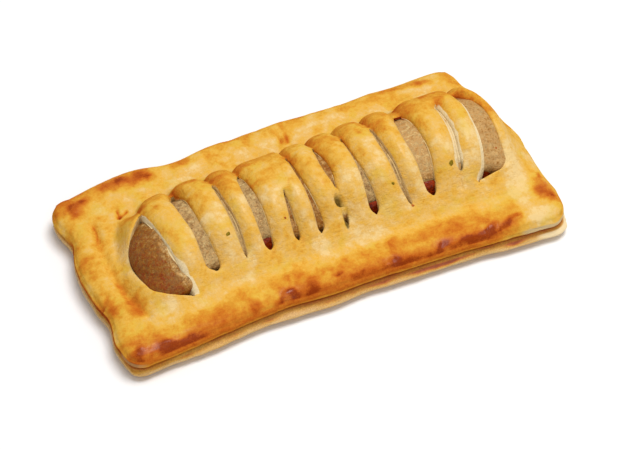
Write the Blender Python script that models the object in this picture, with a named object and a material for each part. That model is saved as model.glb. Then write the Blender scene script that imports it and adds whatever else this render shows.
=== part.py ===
"""A baked sausage roll: a sausage in dark sauce between two rectangles of puff pastry.

The lower sheet lies flat. The upper sheet is pressed down on it all round and arches over
the sausage, where ten cuts and an opening at each end show what is inside.
+X runs along the roll, +Y to its back, +Z up. The origin is the middle of the underside.
"""

import math

import bmesh
import bpy

MM = 0.001

# Driving dimensions, in millimetres.
GAP = 0.3
BASE_THICK = 5.0
BED_TOP = 3.5
BED_HALF = 20.0
BED_LEFT = -69.0
BED_RIGHT = 71.0
BASE_BULGE = 0.6
BASE_BULGE_LEVELS = (0.72, 0.3)
SEAM = BASE_THICK + GAP
RIM_TOP = 11.4
RIM_DROP = 1.0
RIM_BULGE = 0.7
RIM_BULGE_LEVEL = 0.55
TOP_INSET = 1.0
CORNER_RADIUS = 6.0
EDGE_LOOP = 3.0
DOUGH = 3.3

# The arch over the sausage: its half width, where it starts to close at each end, and how far on.
# Its section is a boxy dome that turns into a fillet near the foot.
ARCH_HALF = ((-60, 18.4), (0, 18.7), (60, 19.7))
ARCH_LEFT = -54.0
ARCH_RIGHT = 63.0
LEFT_CAP = 14.6
RIGHT_CAP = 15.0
CAVITY_HALF = ((-60, 17.6), (0, 17.9), (60, 18.8))
CAVITY_LEFT_CAP = 13.9
CAVITY_RIGHT_CAP = 14.8
FOOT_FRONT = -24.0
FOOT_BACK = 23.5
ROUND_POWER = 2.4
OUTER_POWER = 2.5
INNER_POWER = 3.0
DOME_POWER = 0.55
FILLET_START = 0.93
FILLET_END = 1.12

SAUSAGE_HALF = ((-60, 14.7), (0, 14.9), (60, 15.6))
SAUSAGE_LEFT_CAP = 12.0
SAUSAGE_RIGHT_CAP = 12.2
SAUCE_FLOOR = BED_TOP + GAP
SAUCE_UNDER = 1.1
SAUSAGE_BOTTOM = SAUCE_FLOOR + SAUCE_UNDER + GAP
SAUCE_LEFT = -61.0
SAUCE_RIGHT = 66.0
SAUCE_FRONT_TOP = 12.4
SAUCE_BACK_TOP = 13.6
SAUCE_CLEAR = 1.0
SAUCE_CHAMFER = (1.0, 0.4)
SAUCE_STATIONS = 12
SAUCE_WALL_POINTS = 5
SAUCE_FLOOR_POINTS = 6

# How far a strip's long edges fall below its middle, and how much narrower the arch is there.
# Behind the cuts these become grooves, and the strips between them swell.
EDGE_FALL = 1.5
EDGE_PINCH = 0.045
GROOVE_FALL = 2.0
GROOVE_PINCH = 0.06
SWELL = 0.05
SWELL_FADE = 6.0
CUTS_END = 10.0
CUTS_END_FADE = 3.0
GROOVE_FRONT = (-21.0, 3.0)
GROOVE_BACK = (24.5, 5.0)
CUT_MARGIN = 0.4

# Edges of the lower sheet, along X for the long sides and along Y for the short ones.
FRONT_EDGE = ((-76, -42.0), (-48, -39.3), (-25, -37.3), (-8, -38.3), (10, -38.0), (45, -39.1), (76, -41.1))
BACK_EDGE = ((-76, 37.6), (-64, 40.0), (-52, 41.3), (-37, 38.7), (-22, 40.6), (3, 41.5), (30, 41.0),
             (68, 42.2))
LEFT_EDGE = ((-37, -83.2), (-29, -83.8), (-20, -82.3), (-10, -84.0), (1, -84.9), (10, -84.1),
             (18, -81.9), (28, -84.1), (34, -84.1))
RIGHT_EDGE = ((-38, 82.8), (-28, 84.6), (-17, 82.8), (-5, 81.6), (7, 82.4), (14, 82.2), (23, 80.1),
              (38, 75.3))

# The arch's crest and centre line along X.
CREST = ((-68, 25.5), (-54, 26.0), (-20, 27.8), (10, 29.2), (42, 30.6), (62, 29.4), (80, 28.0))
CENTRE = ((-70, -4.6), (-58, -3.4), (-42, 0.0), (-20, 1.0), (30, 1.9), (80, 2.9))

# Each cut from front to back: (y, left edge x, right edge x). The first and last are openings.
CUTS = (
    ((-23.2, -50.4, -49.9), (-22.0, -57.5, -50.4), (-20.0, -61.8, -51.2), (-16.0, -65.0, -52.3),
     (-10.0, -67.0, -54.0), (-4.0, -67.1, -55.2), (1.0, -65.4, -55.9), (5.0, -61.8, -56.6),
     (8.0, -57.8, -57.3)),
    ((-17.8, -42.3, -41.8), (-16.0, -45.0, -40.2), (-6.0, -46.0, -42.0), (3.0, -47.0, -42.2),
     (9.0, -47.3, -42.5), (11.5, -45.5, -44.7)),
    ((-17.3, -30.9, -30.4), (-12.0, -31.8, -30.3), (0.0, -32.0, -30.9), (10.0, -32.0, -31.4)),
    ((-17.7, -22.0, -21.5), (-16.0, -23.0, -20.0), (-8.0, -24.0, -20.0), (0.0, -23.8, -20.0),
     (9.0, -23.0, -21.0), (11.0, -22.1, -21.6)),
    ((-17.5, -11.4, -10.9), (-16.0, -12.1, -10.1), (-11.0, -12.1, -10.5), (-4.5, -11.2, -10.7)),
    ((-17.5, -2.9, -2.4), (-15.5, -3.4, -0.9), (-6.0, -3.6, -2.2), (10.5, -3.9, -3.4)),
    ((-17.3, 7.3, 7.8), (-14.5, 6.3, 8.3), (-8.0, 6.6, 7.1), (-3.0, 5.7, 8.0), (3.0, 5.6, 8.0),
     (10.5, 6.3, 6.8)),
    ((-17.5, 18.0, 18.5), (-15.5, 16.7, 20.1), (-6.0, 17.0, 18.7), (0.0, 17.2, 18.0),
     (10.5, 17.0, 17.5)),
    ((-18.0, 31.3, 31.8), (-12.0, 28.8, 30.4), (0.0, 27.9, 29.1), (10.0, 28.1, 28.7)),
    ((-17.7, 40.0, 40.5), (-16.0, 38.5, 42.0), (-9.0, 37.3, 43.3), (0.0, 36.8, 43.7),
     (9.0, 37.7, 43.1), (12.5, 38.8, 41.8)),
    ((-17.0, 51.0, 51.5), (-12.0, 51.4, 53.3), (0.0, 53.9, 55.4), (11.0, 54.3, 54.9)),
    ((-17.7, 57.6, 58.1), (-16.0, 59.4, 65.0), (-13.0, 61.6, 69.4), (-8.0, 62.7, 70.3),
     (-1.0, 63.3, 70.4), (5.0, 63.7, 69.8), (10.0, 63.7, 67.6), (15.0, 62.0, 62.6)),
)
# The one cut whose sides have baked together for a stretch, front to back.
BRIDGED_CUT = 6
BRIDGE = (-14.2, -8.0)

# Mesh lines of the lower sheet inside its edges, close together where the bed ends: its
# columns by x, its rows by their distance from the centre line.
UPRIGHT = ((-90.0, 0.0), (90.0, 0.0))
BED_COLUMNS = (-70.0, -67.5, -60.0, -48.0, -36.0, -24.0, -12.0, 0.0, 12.0, 24.0, 36.0, 48.0,
               60.0, 70.0, 72.5)
BED_ROWS = (-27.0, -21.0, -18.9, 0.0, 18.9, 21.0, 27.0)

# Mesh lines of the upper sheet: shares of a strip's or border's width, and rows on the arch.
STRIP_SHARES = (0.0, 0.22, 0.78, 1.0)
LEFT_SHARES = (0.0, 0.06, 0.3, 0.55, 0.8, 0.92, 1.0)
RIGHT_SHARES = (0.0, 0.12, 0.28, 0.46, 0.64, 0.92, 1.0)
EDGE_SHARES = (0.0, 0.09, 0.55)
ARCH_ROWS = (-24.0, -22.3, -20.4, -19.0, -17.7, -16.2, -14.2, -11.5, -8.0, -4.5, 0.0, 4.5, 8.0,
             10.4, 12.4, 15.0, 17.2, 19.0, 20.6, 22.0, 23.5)


def clamp(value, low=0.0, high=1.0):
    return max(low, min(high, value))


def ease(value):
    value = clamp(value)
    return value * value * (3.0 - 2.0 * value)


def lerp(start, end, share):
    return start + (end - start) * share


def curve(points, at, column=1):
    """The smooth curve through hand-placed points, held level past its ends."""
    count = len(points)
    at = clamp(at, points[0][0], points[-1][0])
    index = 0
    while index < count - 2 and at > points[index + 1][0]:
        index += 1

    def slope(number):
        first = points[max(0, number - 1)]
        last = points[min(count - 1, number + 1)]
        return (last[column] - first[column]) / (last[0] - first[0])

    start, end = points[index], points[index + 1]
    span = end[0] - start[0]
    t = (at - start[0]) / span
    return (
        (2 * t**3 - 3 * t**2 + 1) * start[column]
        + (t**3 - 2 * t**2 + t) * span * slope(index)
        + (3 * t**2 - 2 * t**3) * end[column]
        + (t**3 - t**2) * span * slope(index + 1)
    )


def dome(rho, power):
    """Height share of a boxy dome at radius share rho, run out into the flat by a fillet."""
    if rho >= FILLET_END:
        return 0.0
    if rho < FILLET_START:
        return (1.0 - rho**power) ** DOME_POWER
    left = 1.0 - FILLET_START**power
    height = left**DOME_POWER
    slope = -DOME_POWER * power * FILLET_START ** (power - 1.0) * left ** (DOME_POWER - 1.0)
    width = FILLET_END - FILLET_START
    t = (rho - FILLET_START) / width
    return (2 * t**3 - 3 * t**2 + 1) * height + (t**3 - 2 * t**2 + t) * width * slope


def arch_radius(x, y, half, left_cap, right_cap):
    """0 on the arch's centre line and 1 at its foot, round both ends too."""
    beyond = max(0.0, (ARCH_LEFT - x) / left_cap, (x - ARCH_RIGHT) / right_cap)
    across = abs(y - curve(CENTRE, x)) / curve(half, x)
    return (beyond**ROUND_POWER + across**ROUND_POWER) ** (1.0 / ROUND_POWER)


def upper_face(x, y, groove, past_cut):
    """Top of the upper sheet. groove is 0 in a strip's middle and 1 at its edge."""
    fall = groove * lerp(EDGE_FALL, GROOVE_FALL, past_cut)
    pinch = groove * lerp(EDGE_PINCH, GROOVE_PINCH, past_cut)
    swell = (1.0 - groove) * SWELL * past_cut * ease((ARCH_RIGHT - x) / SWELL_FADE)
    rho = arch_radius(x, y, ARCH_HALF, LEFT_CAP, RIGHT_CAP) * (1.0 + pinch - swell)
    return RIM_TOP + (curve(CREST, x) - RIM_TOP - fall) * dome(rho, OUTER_POWER)


def cavity_roof(x, y):
    """Underside of the upper sheet: flat on the seam, hollow over the sausage."""
    rho = arch_radius(x, y, CAVITY_HALF, CAVITY_LEFT_CAP, CAVITY_RIGHT_CAP)
    return SEAM + (curve(CREST, x) - DOUGH - SEAM) * dome(rho, INNER_POWER)


def rounded_corner(x, y, inset):
    """Moves a point near one of the sheet's four corners onto a rounded corner."""
    side_x = -1.0 if x < 0.0 else 1.0
    side_y = -1.0 if y < 0.0 else 1.0
    edge_x = abs(curve(LEFT_EDGE if x < 0.0 else RIGHT_EDGE, y)) - inset
    edge_y = abs(curve(FRONT_EDGE if y < 0.0 else BACK_EDGE, x)) - inset
    start_x = edge_x - CORNER_RADIUS
    start_y = edge_y - CORNER_RADIUS
    share_x = (abs(x) - start_x) / CORNER_RADIUS
    share_y = (abs(y) - start_y) / CORNER_RADIUS
    if share_x <= 0.0 or share_y <= 0.0:
        return x, y
    reach_x = share_x * math.sqrt(1.0 - min(1.0, share_y) ** 2 / 2.0)
    reach_y = share_y * math.sqrt(1.0 - min(1.0, share_x) ** 2 / 2.0)
    return side_x * (start_x + CORNER_RADIUS * reach_x), side_y * (start_y + CORNER_RADIUS * reach_y)


def material(name, colour, roughness):
    made = bpy.data.materials.new(name)
    made.use_nodes = True
    shader = made.node_tree.nodes["Principled BSDF"]
    shader.inputs["Base Color"].default_value = (*colour, 1.0)
    shader.inputs["Roughness"].default_value = roughness
    shader.inputs["Metallic"].default_value = 0.0
    return made


def add_object(name, mesh, look, smooth_angle):
    """One named object from a bmesh whose points are in millimetres."""
    bmesh.ops.scale(mesh, vec=(MM, MM, MM), verts=mesh.verts)
    bmesh.ops.recalc_face_normals(mesh, faces=mesh.faces)
    data = bpy.data.meshes.new(name)
    mesh.to_mesh(data)
    mesh.free()
    data.shade_smooth()
    data.set_sharp_from_angle(angle=math.radians(smooth_angle))
    data.materials.append(look)
    made = bpy.data.objects.new(name, data)
    bpy.context.scene.collection.objects.link(made)
    return made


def closed_sheet(upper, lower, present, wall):
    """A solid between two grids of points, with walls round its rim and round every hole.

    wall(column, row) lists the points between the upper and lower ones at an open edge.
    """
    mesh = bmesh.new()
    columns, rows = len(upper), len(upper[0])
    shown = {(i, j) for i in range(columns - 1) for j in range(rows - 1) if present(i, j)}
    corners = {(i + a, j + b) for i, j in shown for a in (0, 1) for b in (0, 1)}
    above = {key: mesh.verts.new(upper[key[0]][key[1]]) for key in corners}
    below = {key: mesh.verts.new(lower[key[0]][key[1]]) for key in corners}
    for i, j in shown:
        around = ((i, j), (i + 1, j), (i + 1, j + 1), (i, j + 1))
        mesh.faces.new([above[key] for key in around])
        mesh.faces.new([below[key] for key in reversed(around)])
    posts = {}

    def post(key):
        if key not in posts:
            middle = [mesh.verts.new(point) for point in wall(*key)]
            posts[key] = [above[key], *middle, below[key]]
        return posts[key]

    for i, j in shown:
        sides = (((i, j), (i + 1, j), (i, j - 1)), ((i + 1, j), (i + 1, j + 1), (i + 1, j)),
                 ((i + 1, j + 1), (i, j + 1), (i, j + 1)), ((i, j + 1), (i, j), (i - 1, j)))
        for start, end, neighbour in sides:
            if neighbour in shown:
                continue
            first, second = post(start), post(end)
            for step in range(len(first) - 1):
                mesh.faces.new((first[step + 1], second[step + 1], second[step], first[step]))
    return mesh


def pastry_base(look):
    """The lower sheet: flat underneath, rounded edges, a shallow bed for the filling."""
    columns = [(LEFT_EDGE, 0.0), (LEFT_EDGE, EDGE_LOOP), *((UPRIGHT, x) for x in BED_COLUMNS)]
    columns += [(RIGHT_EDGE, -EDGE_LOOP), (RIGHT_EDGE, 0.0)]
    rows = [(FRONT_EDGE, 0.0), (FRONT_EDGE, EDGE_LOOP), *((CENTRE, off) for off in BED_ROWS)]
    rows += [(BACK_EDGE, -EDGE_LOOP), (BACK_EDGE, 0.0)]

    def along(line, other, inset):
        """A mesh line's place at the other coordinate: a curve and an offset from it."""
        points, offset = line
        if offset == 0.0 and points in (LEFT_EDGE, FRONT_EDGE):
            offset = inset
        if offset == 0.0 and points in (RIGHT_EDGE, BACK_EDGE):
            offset = -inset
        return curve(points, other) + offset

    def place(column, row, inset):
        y = along(row, along(column, 0.0, inset), inset)
        x = along(column, y, inset)
        return rounded_corner(x, along(row, x, inset), inset)

    upper, lower = [], []
    for column in columns:
        upper_line, lower_line = [], []
        for row in rows:
            x, y = place(column, row, BASE_BULGE)
            bed = BED_LEFT < x < BED_RIGHT and abs(y - curve(CENTRE, x)) < BED_HALF
            upper_line.append((x, y, BED_TOP if bed else BASE_THICK))
            lower_line.append((x, y, 0.0))
        upper.append(upper_line)
        lower.append(lower_line)

    def wall(i, j):
        x, y = place(columns[i], rows[j], 0.0)
        return [(x, y, BASE_THICK * level) for level in BASE_BULGE_LEVELS]

    return add_object("pastry_base", closed_sheet(upper, lower, lambda i, j: True, wall), look, 50)


def cut_edge(cut, y, column):
    """One edge of a cut at y. Past its ends the cut runs on as a straight hairline."""
    points = CUTS[cut]
    if y < points[0][0]:
        return points[0][column]
    if y > points[-1][0]:
        back, middle = points[-1], points[len(points) // 2]
        lean = (back[1] + back[2] - middle[1] - middle[2]) / 2.0 / (back[0] - middle[0])
        return back[column] + lean * (min(y, FOOT_BACK) - back[0])
    return curve(points, y, column)


def column_place(column, y):
    """(x, groove) of one mesh column of the upper sheet at y."""
    kind, number, share = column
    if kind == "left":
        start = curve(LEFT_EDGE, y) + TOP_INSET
        return lerp(start, cut_edge(0, y, 1), share), ease((share - 0.7) / 0.3)
    if kind == "right":
        end = curve(RIGHT_EDGE, y) - TOP_INSET
        return lerp(cut_edge(len(CUTS) - 1, y, 2), end, share), ease((0.3 - share) / 0.3)
    x = lerp(cut_edge(number, y, 2), cut_edge(number + 1, y, 1), share)
    return x, ease(abs(2.0 * share - 1.0))


def sheet_columns():
    columns = [("left", 0, share) for share in LEFT_SHARES]
    for strip in range(len(CUTS) - 1):
        columns += [("strip", strip, share) for share in STRIP_SHARES]
    return columns + [("right", 0, share) for share in RIGHT_SHARES]


def row_place(row, x):
    """The y of one mesh row of the upper sheet at x, with its nominal y."""
    kind, value = row
    if kind == "front":
        return lerp(curve(FRONT_EDGE, x) + TOP_INSET, FOOT_FRONT, value)
    if kind == "back":
        return lerp(curve(BACK_EDGE, x) - TOP_INSET, FOOT_BACK, value)
    return value


def sheet_rows():
    rows = [("front", share) for share in EDGE_SHARES]
    rows += [("arch", y) for y in ARCH_ROWS]
    return rows + [("back", share) for share in reversed(EDGE_SHARES)]


def pastry_top(look):
    """The upper sheet, with its rim, its arch, the strips and every cut."""
    columns, rows = sheet_columns(), sheet_rows()

    def place(column, row):
        x, _ = column_place(column, row_place(row, 0.0))
        y = row_place(row, x)
        x, groove = column_place(column, y)
        y = row_place(row, x)
        return x, y, groove

    upper, lower = [], []
    for column in columns:
        upper_line, lower_line = [], []
        for row in rows:
            x, y, groove = place(column, row)
            past_cut = ease((y - CUTS_END) / CUTS_END_FADE)
            groove *= ease((y - GROOVE_FRONT[0]) / GROOVE_FRONT[1])
            groove *= ease((GROOVE_BACK[0] - y) / GROOVE_BACK[1])
            rim = column in (columns[0], columns[-1]) or row in (rows[0], rows[-1])
            height = upper_face(x, y, groove, past_cut) - (RIM_DROP if rim else 0.0)
            x_round, y_round = rounded_corner(x, y, TOP_INSET)
            upper_line.append((x_round, y_round, height))
            lower_line.append((x_round, y_round, cavity_roof(x, y)))
        upper.append(upper_line)
        lower.append(lower_line)

    last_column, last_row = len(columns) - 1, len(rows) - 1

    def wall(i, j):
        x, y, top = upper[i][j]
        if i not in (0, last_column) and j not in (0, last_row):
            return []
        reach = math.hypot(x, y)
        grow = 1.0 + RIM_BULGE / reach
        return [(x * grow, y * grow, lerp(SEAM, top, RIM_BULGE_LEVEL))]

    starts = [i for i, column in enumerate(columns) if column[0] == "strip" and column[2] == 0.0]
    cut_after = {first - 1: number for number, first in enumerate(starts)}
    cut_after[last_column - len(RIGHT_SHARES)] = len(CUTS) - 1

    def present(i, j):
        """False in a cell that a cut opens."""
        cut = cut_after.get(i)
        if cut is None or rows[j][0] != "arch" or rows[j + 1][0] != "arch":
            return True
        middle = (rows[j][1] + rows[j + 1][1]) / 2.0
        if cut == BRIDGED_CUT and BRIDGE[0] < middle < BRIDGE[1]:
            return True
        return not CUTS[cut][0][0] - CUT_MARGIN < middle < CUTS[cut][-1][0] + CUT_MARGIN

    return add_object("pastry_top", closed_sheet(upper, lower, present, wall), look, 50)


def sausage_section(x):
    """(centre, middle height, half width, half height) of the sausage across the roll at x."""
    top = curve(CREST, x) - DOUGH - GAP
    beyond = max(0.0, (ARCH_LEFT - x) / SAUSAGE_LEFT_CAP, (x - ARCH_RIGHT) / SAUSAGE_RIGHT_CAP)
    share = math.sqrt(1.0 - min(1.0, beyond) ** 2)
    middle = (top + SAUSAGE_BOTTOM) / 2.0
    half_height = (top - SAUSAGE_BOTTOM) / 2.0 * share
    return curve(CENTRE, x), middle, curve(SAUSAGE_HALF, x) * share, half_height


def sausage(look):
    """A slightly flattened sausage with round ends, following the arch over it."""
    sides, end_rings, body_rings = 28, 6, 14
    left_tip = ARCH_LEFT - SAUSAGE_LEFT_CAP
    right_tip = ARCH_RIGHT + SAUSAGE_RIGHT_CAP
    reaches = [math.cos(math.pi / 2.0 * ring / end_rings) for ring in range(1, end_rings + 1)]
    stations = [ARCH_LEFT - SAUSAGE_LEFT_CAP * reach for reach in reaches]
    stations += [lerp(ARCH_LEFT, ARCH_RIGHT, ring / body_rings) for ring in range(1, body_rings)]
    stations += [ARCH_RIGHT + SAUSAGE_RIGHT_CAP * reach for reach in reversed(reaches)]

    mesh = bmesh.new()
    rings = []
    for x in stations:
        centre, middle, half_width, half_height = sausage_section(x)
        ring = []
        for side in range(sides):
            angle = 2.0 * math.pi * side / sides
            y = centre + half_width * math.cos(angle)
            ring.append(mesh.verts.new((x, y, middle + half_height * math.sin(angle))))
        rings.append(ring)
    for tip_x, ring in ((left_tip, rings[0]), (right_tip, rings[-1])):
        centre, middle, _, _ = sausage_section(tip_x)
        tip = mesh.verts.new((tip_x, centre, middle))
        for side in range(sides):
            mesh.faces.new((tip, ring[side], ring[(side + 1) % sides]))
    for first, second in zip(rings, rings[1:]):
        for side in range(sides):
            after = (side + 1) % sides
            mesh.faces.new((first[side], first[after], second[after], second[side]))
    return add_object("sausage", mesh, look, 60)


def sauce_section(x):
    """The sauce's outer and inner outlines across the roll at x, a trough for the sausage."""
    centre, middle, half_width, half_height = sausage_section(x)
    half_width += GAP
    half_height += GAP

    def wall(side, level):
        """Points up one outer side, held off the roof of the cavity."""
        points = []
        for step in range(SAUCE_WALL_POINTS):
            z = lerp(SAUCE_FLOOR + SAUCE_CHAMFER[1], level, step / (SAUCE_WALL_POINTS - 1))
            reach = curve(CAVITY_HALF, x)
            while reach > half_width and cavity_roof(x, centre + side * reach) < z + SAUCE_CLEAR:
                reach -= 0.1
            points.append((centre + side * reach, z))
        return points

    front, back = wall(-1.0, SAUCE_FRONT_TOP), wall(1.0, SAUCE_BACK_TOP)
    outer = list(reversed(front))
    for step in range(SAUCE_FLOOR_POINTS):
        share = step / (SAUCE_FLOOR_POINTS - 1)
        y = lerp(front[0][0] + SAUCE_CHAMFER[0], back[0][0] - SAUCE_CHAMFER[0], share)
        outer.append((y, SAUCE_FLOOR))
    outer += back
    start = math.asin(clamp((SAUCE_FRONT_TOP - middle) / half_height, -1.0, 1.0))
    end = math.asin(clamp((SAUCE_BACK_TOP - middle) / half_height, -1.0, 1.0))
    inner = []
    for step in range(len(outer)):
        angle = lerp(math.pi - start, 2.0 * math.pi + end, step / (len(outer) - 1))
        height = middle + half_height * math.sin(angle)
        inner.append((centre + half_width * math.cos(angle), height))
    return outer, inner


def sauce(look):
    """The sauce under the sausage and up both of its sides."""
    ends = [lerp(SAUCE_LEFT, ARCH_LEFT, share) for share in (0.0, 0.3, 0.6)]
    body = [lerp(ARCH_LEFT, ARCH_RIGHT, step / SAUCE_STATIONS) for step in range(SAUCE_STATIONS + 1)]
    mesh = bmesh.new()
    rings = []
    for x in (*ends, *body, SAUCE_RIGHT):
        outlines = sauce_section(x)
        rings.append([[mesh.verts.new((x, y, z)) for y, z in outline] for outline in outlines])
    last = len(rings[0][0]) - 1
    for (outer, inner), (next_outer, next_inner) in zip(rings, rings[1:]):
        for index in range(last):
            after = index + 1
            mesh.faces.new((outer[index], outer[after], next_outer[after], next_outer[index]))
            mesh.faces.new((inner[after], inner[index], next_inner[index], next_inner[after]))
        mesh.faces.new((inner[0], outer[0], next_outer[0], next_inner[0]))
        mesh.faces.new((outer[last], inner[last], next_inner[last], next_outer[last]))
    for outer, inner in (rings[0], rings[-1]):
        for index in range(last):
            mesh.faces.new((outer[index], inner[index], inner[index + 1], outer[index + 1]))
    return add_object("sauce", mesh, look, 40)


def main():
    for old in list(bpy.data.objects):
        bpy.data.objects.remove(old)
    pastry_base(material("base_dough", (0.72, 0.45, 0.17), 0.6))
    pastry_top(material("glazed_crust", (0.74, 0.38, 0.09), 0.38))
    sausage(material("sausage_meat", (0.33, 0.2, 0.12), 0.5))
    sauce(material("dark_sauce", (0.16, 0.012, 0.008), 0.25))


main()
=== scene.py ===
"""The looks of a baked sausage roll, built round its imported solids.

Lengths are in millimetres unless a name says otherwise. +X runs along the roll, +Y to its
back and +Z up from the surface it lies on.
"""

import math

import bmesh
import bpy
import numpy as np
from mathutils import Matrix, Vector


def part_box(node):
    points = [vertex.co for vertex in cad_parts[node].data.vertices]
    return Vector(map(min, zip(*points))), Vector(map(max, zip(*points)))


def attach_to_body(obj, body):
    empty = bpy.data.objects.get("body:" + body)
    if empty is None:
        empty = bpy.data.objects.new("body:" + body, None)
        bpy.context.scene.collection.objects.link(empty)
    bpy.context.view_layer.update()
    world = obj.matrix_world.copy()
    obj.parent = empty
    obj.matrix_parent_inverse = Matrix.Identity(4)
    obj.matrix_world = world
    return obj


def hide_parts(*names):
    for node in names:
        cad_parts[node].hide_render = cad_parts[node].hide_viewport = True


bl_info = {
    "name": "Sausage roll",
    "version": (1, 0, 0),
    "blender": (4, 5, 0),
    "location": "View3D > Sidebar > Sausage roll",
    "description": "Builds a sausage roll in slit puff pastry, piece by piece",
    "category": "Add Mesh",
}

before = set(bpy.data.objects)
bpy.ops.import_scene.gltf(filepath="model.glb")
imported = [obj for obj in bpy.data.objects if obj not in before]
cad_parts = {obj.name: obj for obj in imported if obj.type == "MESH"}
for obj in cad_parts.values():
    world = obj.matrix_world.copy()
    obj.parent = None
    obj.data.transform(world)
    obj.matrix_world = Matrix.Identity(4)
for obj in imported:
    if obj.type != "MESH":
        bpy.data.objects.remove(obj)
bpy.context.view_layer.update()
MM = 0.001
# Farther than anything on the roll is from anything else, in millimetres.
FAR = 999.0
# Primes and shifts that scramble the cells of the noise, in whole numbers of 32 bits.
CELL_PRIMES = (374761393, 668265263, 974711)
SEED_PRIME = 1274126177
SCRAMBLES = ((13, 1274126177), (16, 2246822519))
LAST_SHIFT = 15
ALL_BITS = 0xFFFFFFFF


def node_box(name):
    """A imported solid's lowest and highest corners, in millimetres."""
    low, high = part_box(name)
    return np.array(low) / MM, np.array(high) / MM


_, BASE_HIGH = node_box("pastry_base")
TOP_LOW, _ = node_box("pastry_top")
SAUSAGE_LOW, SAUSAGE_HIGH = node_box("sausage")
SAUCE_LOW, SAUCE_HIGH = node_box("sauce")

# The lower sheet: its thickness, the bed for the filling, how far its mesh stays inside its
# outline before the rim bulges, the steps and rings of that mesh, and a layer of the dough.
BASE_THICK = BASE_HIGH[2]
BED_TOP = 3.5
BED_HALF = 20.5
BED_LEFT = -70.0
BED_RIGHT = 72.0
BED_SLOPE = 2.0
BASE_INSET = 0.6
BASE_STEPS = (120, 80)
BASE_BUNCH = 0.8
BASE_RINGS = 9
BASE_ROUND = 1.6
BASE_LAYER = 0.8

# The upper sheet: its seam on the lower one, its rim and a layer of that, how far its mesh stays
# inside its outline, its corners, the dough's thickness and the gap that the sausage keeps below.
SEAM = TOP_LOW[2]
RIM_TOP = 11.4
RIM_BULGE = 0.9
RIM_ROUND = 5.5
RIM_DROP = 2.6
RIM_LAYER = 0.95
TOP_INSET = 1.0
CORNER_RADIUS = 6.0
DOUGH = 3.3
GAP = 0.3

# Steps of its mesh: across a strip and both borders, along the borders and the arch, down a wall.
STRIP_STEPS = 22
BORDER_STEPS = (42, 34)
EDGE_STEPS = (26, 28)
ARCH_STEPS = 83
BUNCH = 0.6
RIM_RINGS = 9
CUT_RINGS = 4

# The arch over the sausage: half its width along X, to the front and to the back, where its level
# stretch ends, the reach of its rounded ends, and the shape of its section.
ARCH_HALF = ((-60, 18.4), (0, 18.7), (60, 19.7))
BACK_HALF = ((-60, 23), (-42, 22.4), (-20, 20.6), (0, 20.6), (20, 22), (60, 23.2))
ARCH_LEFT = -54.0
ARCH_RIGHT = 63.0
LEFT_CAP = 14.6
RIGHT_CAP = 15.0
CAVITY_HALF = ((-60, 17.6), (0, 17.9), (60, 18.8))
CAVITY_LEFT_CAP = 13.9
CAVITY_RIGHT_CAP = 14.8
FOOT_FRONT = -24.0
FOOT_BACK = 26.0
ROUND_POWER = 2.4
OUTER_POWER = 2.5
INNER_POWER = 3.0
DOME_POWER = 0.55
INNER_FILLET = (0.93, 1.12)
FRONT_FILLET = (0.8, 1.42)
BACK_FILLET = (0.93, 1.16)

# How a strip falls and narrows at its long edges, and the grooves that run on behind the cuts.
EDGE_FALL = 0.7
EDGE_PINCH = 0.03
GROOVE_FALL = 2.6
GROOVE_PINCH = 0.07
SWELL = 0.03
SWELL_FADE = 6.0
CUTS_END = 7.0
CUTS_END_FADE = 7.0
GROOVE_FRONT = (-21.0, 3.0)
GROOVE_BACK = (27.5, 4.5)
CUT_MARGIN = 0.4

# The meat swells a little past its solid, up against the dough round it, and at its sides it
# swells further, except where sauce lies against it.
PLUMP = 0.7
SAUSAGE_ENDS = (SAUSAGE_LOW[0] - 2.0, SAUSAGE_HIGH[0] + 2.4)
SAUSAGE_HALF = ((-60, 14.7), (0, 14.9), (60, 15.6))
SAUSAGE_BOTTOM = SAUSAGE_LOW[2]
CAP_POWER = 2.4
FRONT_SWELL = 1.9
BACK_SWELL = 1.7
LEFT_SWELL = 3.0
RIGHT_SWELL = 1.6
# Tone of the meat along the roll: 0 grey and fatty, 0.3 tan, 1 browned. From x -11 to 12, under the narrow
# cuts, the meat is darkened as painted shade.
MEAT_TONE_AND_SHADE = ((-66, 0.92), (-56, 0.84), (-50, 0.2), (-44, 0.05), (-18, 0.05), (-11, 0.6), (12, 0.6),
             (16, 0.08), (32, 0.1), (37, 0.28), (60, 0.3), (72, 0.34))
SAUSAGE_SIDES = 120
SAUSAGE_STATIONS = 190

# The sauce: its heights, how far it keeps inside its solid's ends and top, and how far below the
# roof of its cavity. Its walls bend up above the floor, and move in by small steps until they
# clear the roof.
SAUCE_FLOOR = SAUCE_LOW[2]
SAUCE_BEND = 0.4
SAUCE_MARGIN = 0.2
SAUCE_FRONT_LOW = 14.2
SAUCE_FRONT_HIGH = 18.8
SAUCE_BACK_TOP = SAUCE_HIGH[2]
SAUCE_CLEAR = 1.0
SAUCE_HEAP_CLEAR = -2.6
SAUCE_STATIONS = 160
WALL_STEPS = 8
WALL_MOVE = 0.12
WALL_MOVES = 60
LEAST_SAUCE = 0.1
FLOOR_STEPS = 11
FLOOR_INSET = 0.8
# Where the sauce stands high in front: (place along the roll, how far it reaches, how high).
SAUCE_HEAPS = ((-22, 3, 0.7), (18.5, 3.4, 0.8), (40, 4.5, 1), (61, 5, 0.26))

# A bit of herb or spice: corners round it, and its (height, size) from its top down. Its place on
# the crust is looked up from a height in metres.
LOOK_DOWN_FROM = 0.05
BIT_SIDES = 14
BIT_PROFILE = ((0.17, 0.0), (0.16, 0.6), (0.02, 0.95), (-0.16, 0.8))

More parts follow.
